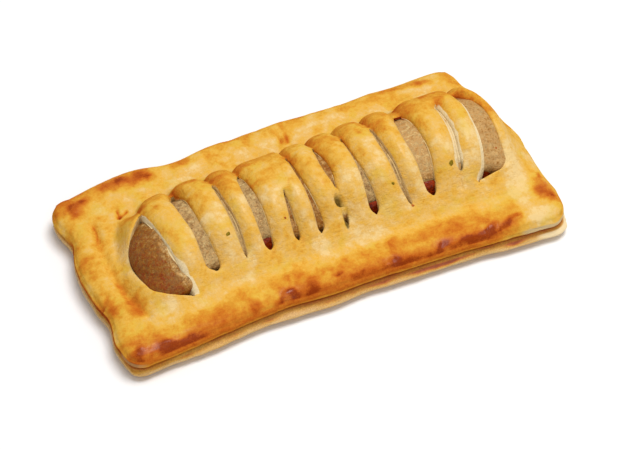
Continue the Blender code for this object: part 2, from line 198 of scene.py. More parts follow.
# Edges of the lower sheet, along X for the long sides and along Y for the short ones.
FRONT_EDGE = ((-76, -42), (-48, -39.3), (-25, -37.3), (-8, -38.3), (10, -38), (45, -39.1),
              (76, -41.1))
BACK_EDGE = ((-76, 38.4), (-64, 41.1), (-52, 42.4), (-37, 39.9), (-22, 41.8), (3, 42.7), (30, 42.3),
             (68, 43.2))
LEFT_EDGE = ((-37, -83.2), (-29, -83.8), (-20, -82.3), (-10, -84), (1, -84.9), (10, -84.1),
             (18, -81.9), (28, -84.1), (34, -84.1))
RIGHT_EDGE = ((-38, 83.2), (-28, 84.4), (-17, 83.6), (-5, 83.8), (2, 84.2), (8, 83.2), (14, 81.9),
              (20, 80.2), (27, 78.8), (31, 77), (38, 76))

# The arch's crest and centre line along X.
CREST = ((-68, 25.6), (-54, 26.3), (-20, 28.1), (10, 29.2), (42, 30.2), (62, 29.4), (80, 28))
CENTRE = ((-70, -4.6), (-58, -3.4), (-42, 0), (-20, 1), (30, 1.9), (80, 2.9))

# Each cut from front to back: (y, left edge x, right edge x). The first and last are openings.
CUTS = (
    ((-24.2, -53.4, -52.9), (-23.2, -57, -53), (-21, -61.6, -53.6), (-17, -65.2, -54.4),
     (-10.5, -67.6, -55.7), (-4, -68, -56.6), (2, -66, -57.4), (6.5, -62.4, -58.2), (9.6, -59.2, -58.7)),
    ((-18.8, -42.3, -41.8), (-17, -45, -40.2), (-6, -46, -42), (3, -47, -42.2), (11, -47.3, -42.7),
     (14.5, -45.7, -44.3)),
    ((-17.3, -30.9, -30.4), (-12, -31.8, -30.3), (0, -32, -30.9), (10, -32, -31.4)),
    ((-17.7, -22, -21.5), (-16, -23, -20), (-8, -24, -20), (0, -23.8, -20), (9, -23, -21),
     (11, -22.1, -21.6)),
    ((-17.5, -11.4, -10.9), (-16, -12.1, -10.1), (-11, -12.1, -10.5), (-4.5, -11.2, -10.7)),
    ((-17.5, -2.9, -2.4), (-15.5, -3.4, -0.9), (-6, -3.6, -2.2), (10.5, -3.9, -3.4)),
    ((-17.3, 7.3, 7.8), (-14.5, 6.3, 8.3), (-8, 6.6, 7.1), (-3, 5.7, 8), (3, 5.6, 8), (10.5, 6.3, 6.8)),
    ((-17.5, 18, 18.5), (-15.5, 16.7, 20.1), (-6, 17, 18.7), (0, 17.2, 18), (10.5, 17, 17.5)),
    ((-18, 31.3, 31.8), (-12, 28.8, 30.4), (0, 27.9, 29.1), (10, 28.1, 28.7)),
    ((-17.7, 40, 40.5), (-16, 38.5, 42), (-9, 37.3, 43.3), (0, 36.8, 43.7), (9, 37.7, 43.1),
     (12.5, 38.8, 41.8)),
    ((-13.6, 51.9, 52.4), (-11.8, 51.6, 53.4), (-9.5, 52.3, 53.5), (0, 53.7, 55.1), (11, 54.2, 54.8)),
    ((-17.9, 57.6, 58.1), (-16.6, 59.2, 66), (-14, 61.4, 69.6), (-8, 62.7, 70.4), (-1, 63.3, 70.6),
     (5, 63.8, 70.5), (10, 64, 69.4), (14.5, 63.6, 67.4), (17.5, 63, 63.8)),
)
LAST_CUT = len(CUTS) - 1
# How far past its ends a cut still shapes the dough, and over what length that fades.
CUT_OVERRUN = 0.6
CUT_FADE = 1.4
# The one cut whose sides have baked together for a stretch, front to back, and how far that
# stretch is filled.
BRIDGED_CUT = 6
BRIDGE = (-15.2, -8.0)
BRIDGE_FILL = 0.6

# A cut's edge: how wide bare dough shows on it, how far in it rounds off, and by how much.
LIP = (0.0, 4.6, 2.6)
SHARP_LIP = (0.0, 3.2, 1.6)
SPECIAL_LIPS = {
    (0, "left"): (0.4, 2.8, 2.2),
    (0, "right"): (0.5, 3.8, 2.9),
    (2, "left"): (0.2, 3.2, 1.6),
    (2, "right"): (0.5, 4.6, 2.6),
    (8, "left"): (0.2, 3.2, 1.6),
    (8, "right"): (0.5, 4.6, 2.6),
    (10, "left"): (0.5, 3.6, 2.0),
    (10, "right"): (1.0, 4.2, 2.4),
    (11, "left"): (0.9, 3.6, 2.2),
    (11, "right"): (0.0, 3.4, 2.2),
}
# The sides of cuts where the bare dough stayed whitest, and how white it is.
WHITE_LIPS = {(0, "right"): 1.0, (10, "left"): 0.55, (10, "right"): 0.55, (11, "left"): 1.0}
# Cuts that no groove follows behind, as the dough on both sides is one.
MERGED_CUTS = (4, 10)
# The cut with sauce baked onto its back end, and from which y on.
STAINED_CUT = (9, 10.0)
# How far the puffed dough of both walls of a cut swells into it, as a share of its width.
SWOLLEN = {2: 0.28, 4: 0.12, 5: 0.16, 6: 0.12, 8: 0.3, 10: 0.54}
LEAST_SWOLLEN = 0.05
MOST_SWOLLEN = 0.47

# Places on the upper sheet that browned more (or less) than what is round them:
# (x, y, half length, half width, turn in degrees, amount).
BROWNING = (
    # front left corner and the lip next to it
    (-62, -39.8, 7, 1.9, 3, 0.5), (-68, -39, 4.5, 2.2, -6, 0.36), (-79, -38.8, 2.2, 3.4, -20, 0.22),
    (-63, -27.5, 12, 6, 0, -0.24), (-56, -34, 2.6, 4.5, 10, 0.06), (-49, -33.5, 5, 3.5, 0, 0.08),
    (-80.5, -6, 2.4, 22, 0, 0.14), (-79.5, -19, 2.2, 8, 0, 0.08), (-72.5, -18, 2.8, 7, 5, 0.18),
    (-74.2, 2, 1.2, 12, 0, 0.12), (-69, -15, 2, 3, 20, 0.08), (-71.5, 3, 2.4, 6, 0, 0.1),
    (-74, -12, 1, 6, 5, 0.14), (-71, -7, 1.8, 2.4, 0, -0.22), (-63, -37, 4, 1.8, 0, -0.1),
    # front border
    (-47, -27, 8, 3.5, 0, -0.12), (-35, -23, 5, 3, 20, -0.12), (-36, -36.5, 5, 2, 0, 0.1),
    (-26.8, -37, 2.2, 1.7, 10, 0.34), (-20, -35, 2.4, 1.6, -50, 0.36), (-23, -34.6, 2.6, 1.2, 10, 0.1),
    (-15, -32, 6.5, 4.2, 0, 0.13), (-12, -36.8, 8, 1.8, 0, 0.12), (4, -36.8, 9, 1.2, 0, 0.12),
    (-4, -34.4, 1.8, 0.9, 10, 0.26), (-6, -20.5, 5, 3, 0, -0.14), (38, -30, 26, 6, 2, 0.06),
    (5, -35.5, 5, 2, 0, 0.04), (16.5, -35.4, 3.2, 1.5, 6, 0.3), (20, -38, 32, 1.6, 2, 0.1),
    (18.5, -28.5, 3.6, 3.6, 0, 0.12), (30, -29, 3.8, 3.4, 0, 0.12), (25, -33, 6, 1.6, 0, -0.12),
    (35.8, -35.4, 3.2, 1.6, 22, 0.26), (33, -37.8, 2.6, 1.2, 35, 0.22), (44, -28.5, 3.6, 3.2, 0, 0.13),
    (50.5, -28, 2.8, 2.6, 0, 0.08), (14, -22, 7, 3.4, 0, -0.13), (56, -24, 2.2, 7, -10, -0.16),
    (64, -22, 3.2, 3.8, 0, 0.16), (64, -29, 2.8, 4, 0, 0.16), (54, -35.8, 3.8, 1.7, 25, 0.3),
    (60.5, -36, 5, 1.5, 18, 0.32), (64.5, -35, 2, 1.2, 10, 0.22), (25, -36.8, 10, 1.4, 1, 0.18),
    (45, -37.2, 9, 1.4, 3, 0.2), (48, -38, 5, 1.4, 8, 0.12), (71, -25, 4.6, 14, -5, -0.46),
    (76, -37.5, 8, 4, 0, -0.48),
    # right border
    (78.4, -27, 3.4, 5.4, -15, 0.42), (77.4, -17, 2, 2.6, 0, 0.16), (80.4, -20.6, 1.4, 1.6, 0, 0.3),
    (80, -31, 2, 2.4, 0, 0.18), (78, 4, 2.4, 10, 0, 0.14), (72, -17, 3, 3, 0, -0.18),
    # back border
    (-75.5, 30, 5, 3.2, 40, 0.42), (-72, 32.4, 2.8, 1.5, -10, 0.2), (-79, 26, 2, 5, -10, 0.24),
    (-60, 36.2, 6, 3.4, 2, 0.34), (-56, 32, 13, 5, 0, 0.1), (-50.5, 35.8, 8, 4, -3, 0.34),
    (-46, 34.8, 3, 1.3, 5, 0.14), (-36, 36.5, 8, 1.8, -3, 0.16), (-40, 27.5, 5, 2.4, 0, -0.12),
    (-18, 37, 9, 2, 3, 0.16), (-12, 31, 6, 2.2, 0, -0.14), (4.6, 31.8, 2, 2, 20, 0.26),
    (2, 35.5, 7, 1.6, 3, 0.12), (12, 32.5, 6, 2.6, 0, -0.1), (26, 34, 7, 2.4, 0, -0.1),
    (50, 39.5, 7, 1.3, 2, 0.2), (62.5, 36.8, 5, 1.7, -22, 0.42), (55.5, 35.6, 7.5, 1.2, -12, -0.22),
    (73, 34, 3, 5, 20, 0.16),
    # strips
    (-53, -9, 1.6, 6, 4, 0.14), (-49, -13, 2, 4, 0, 0.1), (-45.5, 18, 5, 3, 0, 0.1),
    (-33, -14, 4, 2.6, 0, -0.08), (-26, -15.5, 2.4, 1.6, 0, -0.06), (3, 20, 3, 3, 0, 0.1),
    (13, 20, 3, 4, 0, 0.12), (24, -6, 2.4, 6, 0, -0.1), (46, 20, 3, 3, 0, 0.14),
    (58, -2, 2.6, 12, 4, -0.1), (44.8, 4, 1.2, 9, 0, 0.16), (49, -3, 2.4, 5, 0, -0.06),
)

# Where the egg wash lies thick and shines: (x, y, half length, half width, turn, amount).
GLOSS = (
    (-75, -37, 5, 3, 0, 0.6), (-62, -39, 8, 2.5, 0, 0.35), (-22, -34.8, 3, 1.8, 10, 0.9),
    (35.5, -35.5, 3, 2, 30, 0.4), (54, -35.4, 3.5, 2, 35, 0.5), (79, -26, 3, 5, -25, 0.5),
    (16, -35.5, 2.5, 2, 0, 0.4), (-75, 31, 5, 3, 35, 0.35), (-56, 36, 10, 2.5, 0, 0.35),
    (62, 37.5, 6, 2, -24, 0.3), (-20, -39, 30, 2, 0, 0.12), (30, -39, 30, 2, 3, 0.12),
)

# Raised blisters and dents: (x, y, half length, half width, turn in degrees, height).
BLISTERS = (
    (-22.2, -34.8, 3.4, 1.9, 8, 0.75), (-26.8, -37.2, 2, 1.5, 0, 0.3), (-42, -35.8, 2.4, 1, 25, 0.4),
    (-4, -34.6, 1.7, 0.9, 10, -0.45), (16.4, -35.3, 2.2, 1.5, 0, -0.5), (14.2, -37.4, 2.6, 1.4, 0, 0.4),
    (35.4, -35.8, 2.2, 1.4, 30, -0.4), (54.2, -35.3, 3, 2, 35, 0.5), (64, -36, 2.2, 1.3, 10, 0.35),
    (-60, -38.2, 5, 1.6, 0, -0.6), (-68, -38, 3.4, 1.8, -8, 0.5), (-77, -36.5, 2, 2.6, -20, 0.5),
    (79, -26, 2.8, 4.6, -28, 0.5), (-13, -31.5, 4, 2.4, 0, 0.3), (18.5, -29.5, 3.6, 2.6, 0, 0.3),
    (29, -29.5, 3.6, 2.4, 0, 0.3), (44, -28.5, 3.6, 2.6, 0, 0.3), (62, -30, 3.4, 2.6, 0, 0.4),
    (-75.5, -27, 1.6, 3, -15, -0.4), (-70.5, -7, 1.6, 2.4, 0, 0.35), (4.6, 31.8, 1.9, 1.9, 20, 0.25),
    (63, 37.6, 5, 1.2, -24, 0.35), (-75, 31, 4, 2.2, 36, 0.4), (73, 26, 2, 3, 20, 0.3),
    (66, -22, 3, 3, 0, 0.3), (-45, 15.8, 2.6, 3, 0, -1), (-22.4, 12, 2.2, 2.6, 0, -0.9),
)

# Holes where juice broke through: (x, y, half length, half width, turn in degrees, depth). Their bottoms
# are painted dark olive, as painted shade.
PITS = ((6, -12.2, 1.6, 1.6, 0, 1.9), (6.9, -17, 0.8, 2.4, 0, 0.4), (52.7, -13, 1, 1.7, 0, 1.4))

# Creases pressed or torn into the upper sheet: (x, y) points, then width, depth and browning.
CREASES = (
    (((-70.2, -25), (-72.8, -17), (-74.6, -6), (-74.2, 8), (-72.8, 20)), 1.6, 1.3, 0.06),
    (((-72.9, 20.5), (-73.3, 13.5)), 0.7, 0.5, 0.3),
    (((-62.6, 23.8), (-63, 20.6)), 0.75, 0.6, 0.6),
    (((-63, 20.6), (-59.6, 22.4)), 0.75, 0.6, 0.55),
    (((-82.3, -14.2), (-79.2, -11.2)), 0.6, 0.5, 0.16),
    (((-83.2, -8), (-82.3, -14.2)), 0.6, 0.4, 0.14),
    (((63, -17.6), (69, -16.2), (75, -12.6)), 0.45, 0.28, 0),
    (((66, -19), (72, -16.6), (77, -13)), 0.45, 0.22, 0),
    (((-80, -33.8), (-77, -34.2)), 0.6, 0.4, 0.16),
    (((50, 33.4), (58, 33), (67, 31)), 0.9, 0.5, 0),
    (((3.2, 34.2), (2.9, 30.2)), 0.7, 0.35, 0.3),
    (((5.8, 33.6), (5.4, 29.9)), 0.7, 0.35, 0.3),
    (((51, -18.4), (51.4, -16), (52.1, -13.4)), 0.6, 0.7, 0),
)

# The dough's broad and fine unevenness: (size, seed, height, how much more where it lies flat).
SWAY = ((11, 3, 0.1, 0.3), (4.5, 4, 0.08, 0.16), (1.8, 5, 0.05, 0))
# Wrinkles of the skin: (length, width, seed, fineness, amount).
CRINKLES = ((8, 3.4, 28, 0.07, 1), (4, 2.2, 29, 0.09, 0.6))
# Browning along an edge, 0 left, 1 right, 2 front and 3 back: (edge, reach, fade, amount).
EDGE_BROWNING = ((0, 16, 6, 0.12), (1, 6, 4, 0.06), (3, 9.5, 6, 0.16), (3, 2.5, 2, 0.08))
# Large darker and paler patches: (size, seed).
PATCHES = ((5, 18), (5.5, 19))

# Bits of herb and spice baked on: (x, y, length, width, turn in degrees).
HERBS = (
    (-35, -12, 1.7, 1.3, 20), (26.6, -13.1, 1.4, 1.1, 0), (49.2, -12.9, 1.8, 2.3, 0),
)
SPICES = ((-14, -12.5, 1, 0.8, 0), (31.8, -18.9, 1.1, 0.9, 0), (68, -10.6, 0.9, 0.8, 0))


# ---------------------------------------------------------------- shape functions


def unit(value):
    """Held between 0 and 1."""
    return np.clip(value, 0.0, 1.0)


def ease(value):
    """0 below 0 and 1 above 1, smooth between."""
    value = unit(value)
    return value * value * (3.0 - 2.0 * value)


def rise(value, start, width):
    """0 up to start, then smoothly up to 1 over width."""
    return ease((value - start) / width)


def fall(value, end, width):
    """1 until width before end, then smoothly down to 0 there."""
    return ease((end - value) / width)


def bell(value, middle, width):
    """1 at the middle, fading on both sides."""
    return np.exp(-(((value - middle) / width) ** 2))


def round_off(share):
    """How far a rounded edge has dropped, from 0 where the rounding starts to 1 at its rim."""
    return 1.0 - np.sqrt(1.0 - unit(share) ** 2)


def bulge(share):
    """How far a full, round side stands out: 0 at its top and bottom, 1 between."""
    return math.sin(math.pi * share) ** 0.6


def lerp(start, end, share):
    """The value that lies a share of the way from start to end."""
    return start + (end - start) * share


def run_out(t, height, slope):
    """A smooth way down from a height, at a slope, to level ground, for t from 0 to 1."""
    return (2 * t**3 - 3 * t**2 + 1) * height + (t**3 - 2 * t**2 + t) * slope


def curve(points, at, column=1):
    """The smooth curve through given points, held level past its ends."""
    knots, values = np.array(points, dtype=float)[:, [0, column]].T
    last = len(knots) - 1
    before, after = np.maximum(np.arange(-1, last), 0), np.minimum(np.arange(1, last + 2), last)
    slopes = (values[after] - values[before]) / (knots[after] - knots[before])
    at = np.clip(np.asarray(at, dtype=float), knots[0], knots[-1])
    index = np.clip(np.searchsorted(knots, at, side="right") - 1, 0, last - 1)
    span = knots[index + 1] - knots[index]
    t = (at - knots[index]) / span
    return (run_out(t, values[index], span * slopes[index])
            + run_out(1.0 - t, values[index + 1], -span * slopes[index + 1]))


def dome(rho, power, fillet):
    """Height share of a boxy dome at radius share rho, run out into the flat by a fillet."""
    first, last = fillet
    left = 1.0 - first**power
    slope = -DOME_POWER * power * first ** (power - 1.0) * left ** (DOME_POWER - 1.0)
    share = unit((rho - first) / (last - first))
    body = (1.0 - np.minimum(rho, first) ** power) ** DOME_POWER
    return np.where(rho < first, body, run_out(share, left**DOME_POWER, (last - first) * slope))


def past_arch(x, left_cap, right_cap):
    """0 where the arch runs on level, rising to 1 at the ends of its two caps."""
    return np.maximum(0.0, np.maximum((ARCH_LEFT - x) / left_cap, (x - ARCH_RIGHT) / right_cap))


def arch_radius(x, y, half, back_half, left_cap, right_cap):
    """0 on the arch's centre line and 1 at its foot, round both ends too."""
    beyond = past_arch(x, left_cap, right_cap)
    aside = y - curve(CENTRE, x)
    across = np.where(aside > 0.0, aside / curve(back_half, x), -aside / curve(half, x))
    return (beyond**ROUND_POWER + across**ROUND_POWER) ** (1.0 / ROUND_POWER)


def cavity_roof(x, y):
    """Underside of the upper sheet: flat on the seam, hollow over the sausage."""
    rho = arch_radius(x, y, CAVITY_HALF, CAVITY_HALF, CAVITY_LEFT_CAP, CAVITY_RIGHT_CAP)
    return SEAM + (curve(CREST, x) - DOUGH - SEAM) * dome(rho, INNER_POWER, INNER_FILLET)


def noise(size, seed, x, y=0.0, z=0.0):
    """Smooth noise from -1 to 1, with features about size across, or (x, y, z) sizes."""
    size = np.broadcast_to(np.asarray(size, dtype=float), (3,))
    place = [np.asarray(axis, dtype=float) / step + 31.7 * seed for axis, step in zip((x, y, z), size)]
    place = np.broadcast_arrays(*place)
    cells = [np.floor(axis).astype(np.int64) for axis in place]
    parts = [ease(axis - cell) for axis, cell in zip(place, cells)]
    total = np.zeros(place[0].shape)
    for corner in range(8):
        step = (corner & 1, corner >> 1 & 1, corner >> 2 & 1)
        mixed = seed * SEED_PRIME
        for cell, up, prime in zip(cells, step, CELL_PRIMES):
            mixed = mixed + (cell + up) * prime
        mixed &= ALL_BITS
        for shift, prime in SCRAMBLES:
            mixed = ((mixed ^ (mixed >> shift)) * prime) & ALL_BITS
        weight = 1.0
        for part, up in zip(parts, step):
            weight = weight * (part if up else 1.0 - part)
        total += weight * ((mixed ^ (mixed >> LAST_SHIFT)) / ALL_BITS)
    return 2.0 * total - 1.0


def oval(x, y, spot):
    """Radius share from a spot's middle: 0 there and 1 at its rim."""
    turn = math.radians(spot[4])
    along = (x - spot[0]) * math.cos(turn) + (y - spot[1]) * math.sin(turn)
    aside = (y - spot[1]) * math.cos(turn) - (x - spot[0]) * math.sin(turn)
    return np.hypot(along / spot[2], aside / spot[3])


def line_distance(x, y, points):
    """Distance to a line through a few points."""
    best = np.full(np.shape(x), FAR)
    for (ax, ay), (bx, by) in zip(points, points[1:]):
        dx, dy = bx - ax, by - ay
        share = unit(((x - ax) * dx + (y - ay) * dy) / (dx * dx + dy * dy))
        best = np.minimum(best, np.hypot(x - ax - share * dx, y - ay - share * dy))
    return best


def edge_distances(x, y, inset):
    """How far points lie inside the left, right, front and back edges, less an inset."""
    return np.stack([x - curve(LEFT_EDGE, y), curve(RIGHT_EDGE, y) - x,
                     y - curve(FRONT_EDGE, x), curve(BACK_EDGE, x) - y]) - inset


def rounded_corner(x, y, inset):
    """Moves points near one of the sheet's four corners onto a rounded corner."""
    starts, shares, sides = [], [], []
    for axis, other, low, high in ((x, y, LEFT_EDGE, RIGHT_EDGE), (y, x, FRONT_EDGE, BACK_EDGE)):
        edge = np.abs(np.where(axis < 0.0, curve(low, other), curve(high, other))) - inset
        starts.append(edge - CORNER_RADIUS)
        shares.append((np.abs(axis) - starts[-1]) / CORNER_RADIUS)
        sides.append(np.where(axis < 0.0, -1.0, 1.0))
    near = (shares[0] > 0.0) & (shares[1] > 0.0)
    moved = []
    for axis, side, start, share, across in zip((x, y), sides, starts, shares, shares[::-1]):
        reach = share * np.sqrt(1.0 - unit(across) ** 2 / 2.0)
        moved.append(np.where(near, side * (start + CORNER_RADIUS * reach), axis))
    return moved


def spread(steps, bunch):
    """Shares from 0 to 1 that lie closer together at both ends."""
    even = np.linspace(0.0, 1.0, steps + 1)
    return even - bunch * np.sin(2.0 * math.pi * even) / (2.0 * math.pi)


def ring_shares(count):
    """Shares down a wall for a number of rings, without its top and its foot."""
    return np.linspace(0.0, 1.0, count + 2)[1:-1].tolist()


# ---------------------------------------------------------------- meshes


class Solid:
    """Points, faces and named values per point of one mesh."""

    def __init__(self, *names):
        self.points = []
        self.faces = []
        self.values = {name: [] for name in names}
        self.count = 0

    def add(self, x, y, z, **values):
        """Adds points with their values, 0 if none is given, and gives back their numbers."""
        points = np.stack(np.broadcast_arrays(x, y, z), axis=-1)
        shape = points.shape[:-1]
        self.points.append(points.reshape(-1, 3))
        for name, parts in self.values.items():
            parts.append(np.broadcast_to(values.get(name, 0.0), shape).reshape(-1))
        numbers = np.arange(self.count, self.count + len(self.points[-1])).reshape(shape)
        self.count += numbers.size
        return numbers

    def quads(self, *corners):
        """Faces from four arrays of point numbers, one for each corner."""
        self.faces.append(np.stack([np.ravel(corner) for corner in corners], axis=1))

    def sheet(self, grid, shown=..., turned=False):
        """The faces between a grid of points, or the shown ones among them."""
        corners = [grid[:-1, :-1], grid[1:, :-1], grid[1:, 1:], grid[:-1, 1:]]
        self.quads(*[corner[shown] for corner in (corners[::-1] if turned else corners)])

    def tube(self, rings):
        """The faces between closed rings of points."""
        for upper, lower in zip(rings, rings[1:]):
            self.quads(upper, np.roll(upper, -1), np.roll(lower, -1), lower)

    def build(self, name, look, sharp_degrees=60):
        """A smooth-shaded object in metres. Points that no face uses are left out."""
        points = np.concatenate(self.points) * MM
        faces = np.concatenate(self.faces)
        used = np.unique(faces)
        renumber = np.full(len(points), -1)
        renumber[used] = np.arange(len(used))
        mesh = bpy.data.meshes.new(name)
        mesh.from_pydata(points[used].tolist(), [], renumber[faces].tolist())
        for value_name, parts in self.values.items():
            layer = mesh.attributes.new(value_name, "FLOAT", "POINT")
            layer.data.foreach_set("value", np.concatenate(parts)[used].astype(np.float32))
        tidy = bmesh.new()
        tidy.from_mesh(mesh)
        bmesh.ops.recalc_face_normals(tidy, faces=tidy.faces)
        tidy.to_mesh(mesh)
        tidy.free()
        mesh.shade_smooth()
        mesh.set_sharp_from_angle(angle=math.radians(sharp_degrees))
        mesh.materials.append(look)
        made = bpy.data.objects.new(name, mesh)
        bpy.context.scene.collection.objects.link(made)
        return made


def rim_loop(grid):
    """The values of a grid along its rim, anticlockwise from its front left corner."""
    return np.concatenate([grid[:-1, 0], grid[-1, :-1], grid[:0:-1, -1], grid[0, :0:-1]])


class Rim:
    """The outline of a sheet, anticlockwise, with the directions that lead out of it."""

    def __init__(self, x, y):
        self.x, self.y = rim_loop(x), rim_loop(y)
        dx, dy = (np.roll(axis, -1) - np.roll(axis, 1) for axis in (self.x, self.y))
        length = np.hypot(dx, dy)
        self.out_x, self.out_y = dy / length, -dx / length
        self.faces_front = ease(-self.out_y * 2.0 - 0.6)

    def noise(self, size, seed, z=0.0):
        return noise(size, seed, self.x, self.y, z)

    def close(self, solid, above, below, heights, rings, finish):
        """Joins a sheet's two faces by rings of points. finish(share, z) tells, for a share of
        the way down and the height there, how far out a ring stands and what its values are."""
        lines = [rim_loop(above)]
        for share in ring_shares(rings):
            z = lerp(*heights, share)
            out, values = finish(share, z)
            lines.append(solid.add(self.x + out * self.out_x, self.y + out * self.out_y, z, **values))
        solid.tube([*lines, rim_loop(below)][::-1])


def attach(piece, node):
    """Says what a piece moves with, and hides the node that it stands for."""
    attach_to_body(piece, "root")
    if node:
        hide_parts(node)


# ---------------------------------------------------------------- the upper sheet


def cut_side(cut, y, column):
    """One edge of a cut at y. Past its back end the cut runs on as a hairline."""
    points = CUTS[cut]
    back, middle = points[-1], points[len(points) // 2]
    lean = (back[1] + back[2] - middle[1] - middle[2]) / 2.0 / (back[0] - middle[0])
    return curve(points, y, column) + lean * np.maximum(0.0, np.minimum(y, FOOT_BACK) - back[0])


def band_sides(band, y):
    """Left and right side at y of a border (first and last) or a strip between two cuts."""
    left = curve(LEFT_EDGE, y) + TOP_INSET if band == 0 else cut_side(band - 1, y, 2)
    right = curve(RIGHT_EDGE, y) - TOP_INSET if band > LAST_CUT else cut_side(band, y, 1)
    return left, right


def openness(cut, y):
    """1 where a cut is open, fading to 0 at its ends and part way over a baked bridge."""
    front, back = CUTS[cut][0][0] - CUT_OVERRUN, CUTS[cut][-1][0] + CUT_OVERRUN
    value = rise(y, front, CUT_FADE) * fall(y, back, CUT_FADE)
    if cut == BRIDGED_CUT:
        value = value * (1.0 - BRIDGE_FILL * rise(y, BRIDGE[0], 1.0) * fall(y, BRIDGE[1], 1.0))
    return value


class UpperSheet:
    """The grid of the upper sheet: where its points are and what they look like.

    It has a band of columns for each border and each strip. Arrays with a first axis of two
    hold what is to the left of a point and then what is to its right.
    """

    def __init__(self):
        steps = [BORDER_STEPS[0], *[STRIP_STEPS] * LAST_CUT, BORDER_STEPS[1]]
        columns = [(band, share) for band, count in enumerate(steps) for share in spread(count, BUNCH)]
        self.band, self.share = np.array(columns).T
        front, back = (spread(count, BUNCH)[:-1] for count in EDGE_STEPS)
        arch = np.linspace(FOOT_FRONT, FOOT_BACK, ARCH_STEPS + 1)
        self.rows = front, arch, back[::-1]
        self.x = np.zeros((len(self.band), len(front) + len(arch) + len(back)))
        for _ in range(2):
            self.y = self.place_rows(self.x)
            self.x = self.place_columns(self.y)
        self.y = self.place_rows(self.x)
        self.middle = np.full(self.x.shape[1] - 1, np.nan)
        self.middle[len(front):][:ARCH_STEPS] = (arch[1:] + arch[:-1]) / 2.0
        self.measure()
        self.raise_surface()
        self.brown()

    def place_rows(self, x):
        """Every point's y, for its x. The rows over the arch are straight."""
        front, arch, back = self.rows
        return np.hstack([
            lerp(curve(FRONT_EDGE, x[:, :len(front)]) + TOP_INSET, FOOT_FRONT, front),
            np.tile(arch, (len(x), 1)),
            lerp(curve(BACK_EDGE, x[:, -len(back):]) - TOP_INSET, FOOT_BACK, back),
        ])

    def place_columns(self, y):
        """Every point's x, for its y."""
        x = np.zeros_like(y)
        for band in range(LAST_CUT + 2):
            mine = self.band == band
            x[mine] = lerp(*band_sides(band, y[mine]), self.share[mine, None])
        return x

    def noise(self, size, seed):
        return noise(size, seed, self.x, self.y)

    def measure(self):
        """Distances to the outer edge and to both cuts, with how open each cut is there."""
        x, y = self.x, self.y
        self.edges = edge_distances(x, y, TOP_INSET)
        self.gap = np.full((2, *x.shape), FAR)
        self.open = np.zeros((2, *x.shape))
        self.lip = np.tile(LIP, (2, *x.shape, 1))
        self.groove, self.merged, self.white = np.zeros((3, *x.shape))
        for band in range(LAST_CUT + 2):
            mine = self.band == band
            here, share = y[mine], self.share[mine, None]
            across = np.abs(2.0 * share - 1.0)
            groove = lerp(ease(across), across**3.0, rise(here, CUTS_END, CUTS_END_FADE))
            if band == 0:
                groove = rise(share, 0.7, 0.3)
            if band > LAST_CUT:
                groove = fall(share, 0.3, 0.3)
            self.groove[mine] = groove
            sides = band_sides(band, here)
            for side, (cut, edge, lip, near) in enumerate((
                    (band - 1, "right", LIP, share < 0.5), (band, "left", SHARP_LIP, share >= 0.5))):
                if 0 <= cut <= LAST_CUT:
                    self.gap[side, mine] = np.abs(x[mine] - sides[side])
                    self.open[side, mine] = openness(cut, here)
                    self.lip[side, mine] = SPECIAL_LIPS.get((cut, edge), lip)
                if cut in MERGED_CUTS:
                    self.merged[mine] += near * rise(here, CUTS[cut][-1][0] - 1.0, 4.0)
                self.white[mine] += near * ((cut, edge) in WHITE_LIPS)
        self.groove *= (1.0 - self.merged) * rise(y, *GROOVE_FRONT) * fall(y, *GROOVE_BACK)

    def raise_surface(self):
        """The height of the upper face, with all its relief."""
        x, y = self.x, self.y
        past_cut = rise(y, CUTS_END, CUTS_END_FADE)
        drop = self.groove * lerp(EDGE_FALL, GROOVE_FALL, past_cut)
        pinch = self.groove * lerp(EDGE_PINCH, GROOVE_PINCH, past_cut)
        swell = (1.0 - self.groove) * SWELL * past_cut * fall(x, ARCH_RIGHT, SWELL_FADE)
        rho = arch_radius(x, y, ARCH_HALF, BACK_HALF, LEFT_CAP, RIGHT_CAP) * (1.0 + pinch - swell)
        behind = ease(0.5 + 0.6 * (y - curve(CENTRE, x)) / curve(ARCH_HALF, x))
        fillet = [lerp(front, back, behind) for front, back in zip(FRONT_FILLET, BACK_FILLET)]
        self.arch = dome(rho, OUTER_POWER, fillet)
        z = RIM_TOP + (curve(CREST, x) - RIM_TOP - drop) * self.arch
        for gap, is_open, lip in zip(self.gap, self.open, self.lip):
            depth = unit(1.0 - gap / lip[..., 1])
            z -= lip[..., 2] * (1.0 - np.sqrt(1.0 - depth**2.2)) * is_open
        z -= RIM_DROP * round_off(1.0 - self.edges.min(axis=0) / RIM_ROUND)
        flat = 1.0 - unit(self.arch * 2.5)
        for size, seed, height, more_where_flat in SWAY:
            z += (height + more_where_flat * flat) * self.noise(size, seed)
        for spot in BLISTERS:
            share = oval(x, y, spot)
            z += spot[5] * (1.0 - unit(share * share)) ** 1.5
            z -= 0.16 * abs(spot[5]) * bell(share, 1.12, 0.16)
        # Each pit's mask also paints its bottom dark, as painted shade.
        self.pit = np.zeros_like(x)
        for spot in PITS:
            inside = fall(oval(x, y, spot), 1.1, 0.5)
            z -= spot[5] * inside
            self.pit = np.maximum(self.pit, inside)
        self.crinkles = sum(amount * bell(self.noise((length, width, 1.0), seed), 0.0, fineness)
                            for length, width, seed, fineness, amount in CRINKLES)
        self.crinkles *= ease(self.noise(9.0, 30) * 1.6 + 0.5)
        z -= 0.13 * (0.3 + 0.7 * flat) * self.crinkles
        for points, width, depth, _ in CREASES:
            z -= depth * bell(line_distance(x, y, points), 0.0, width)
        self.z = z

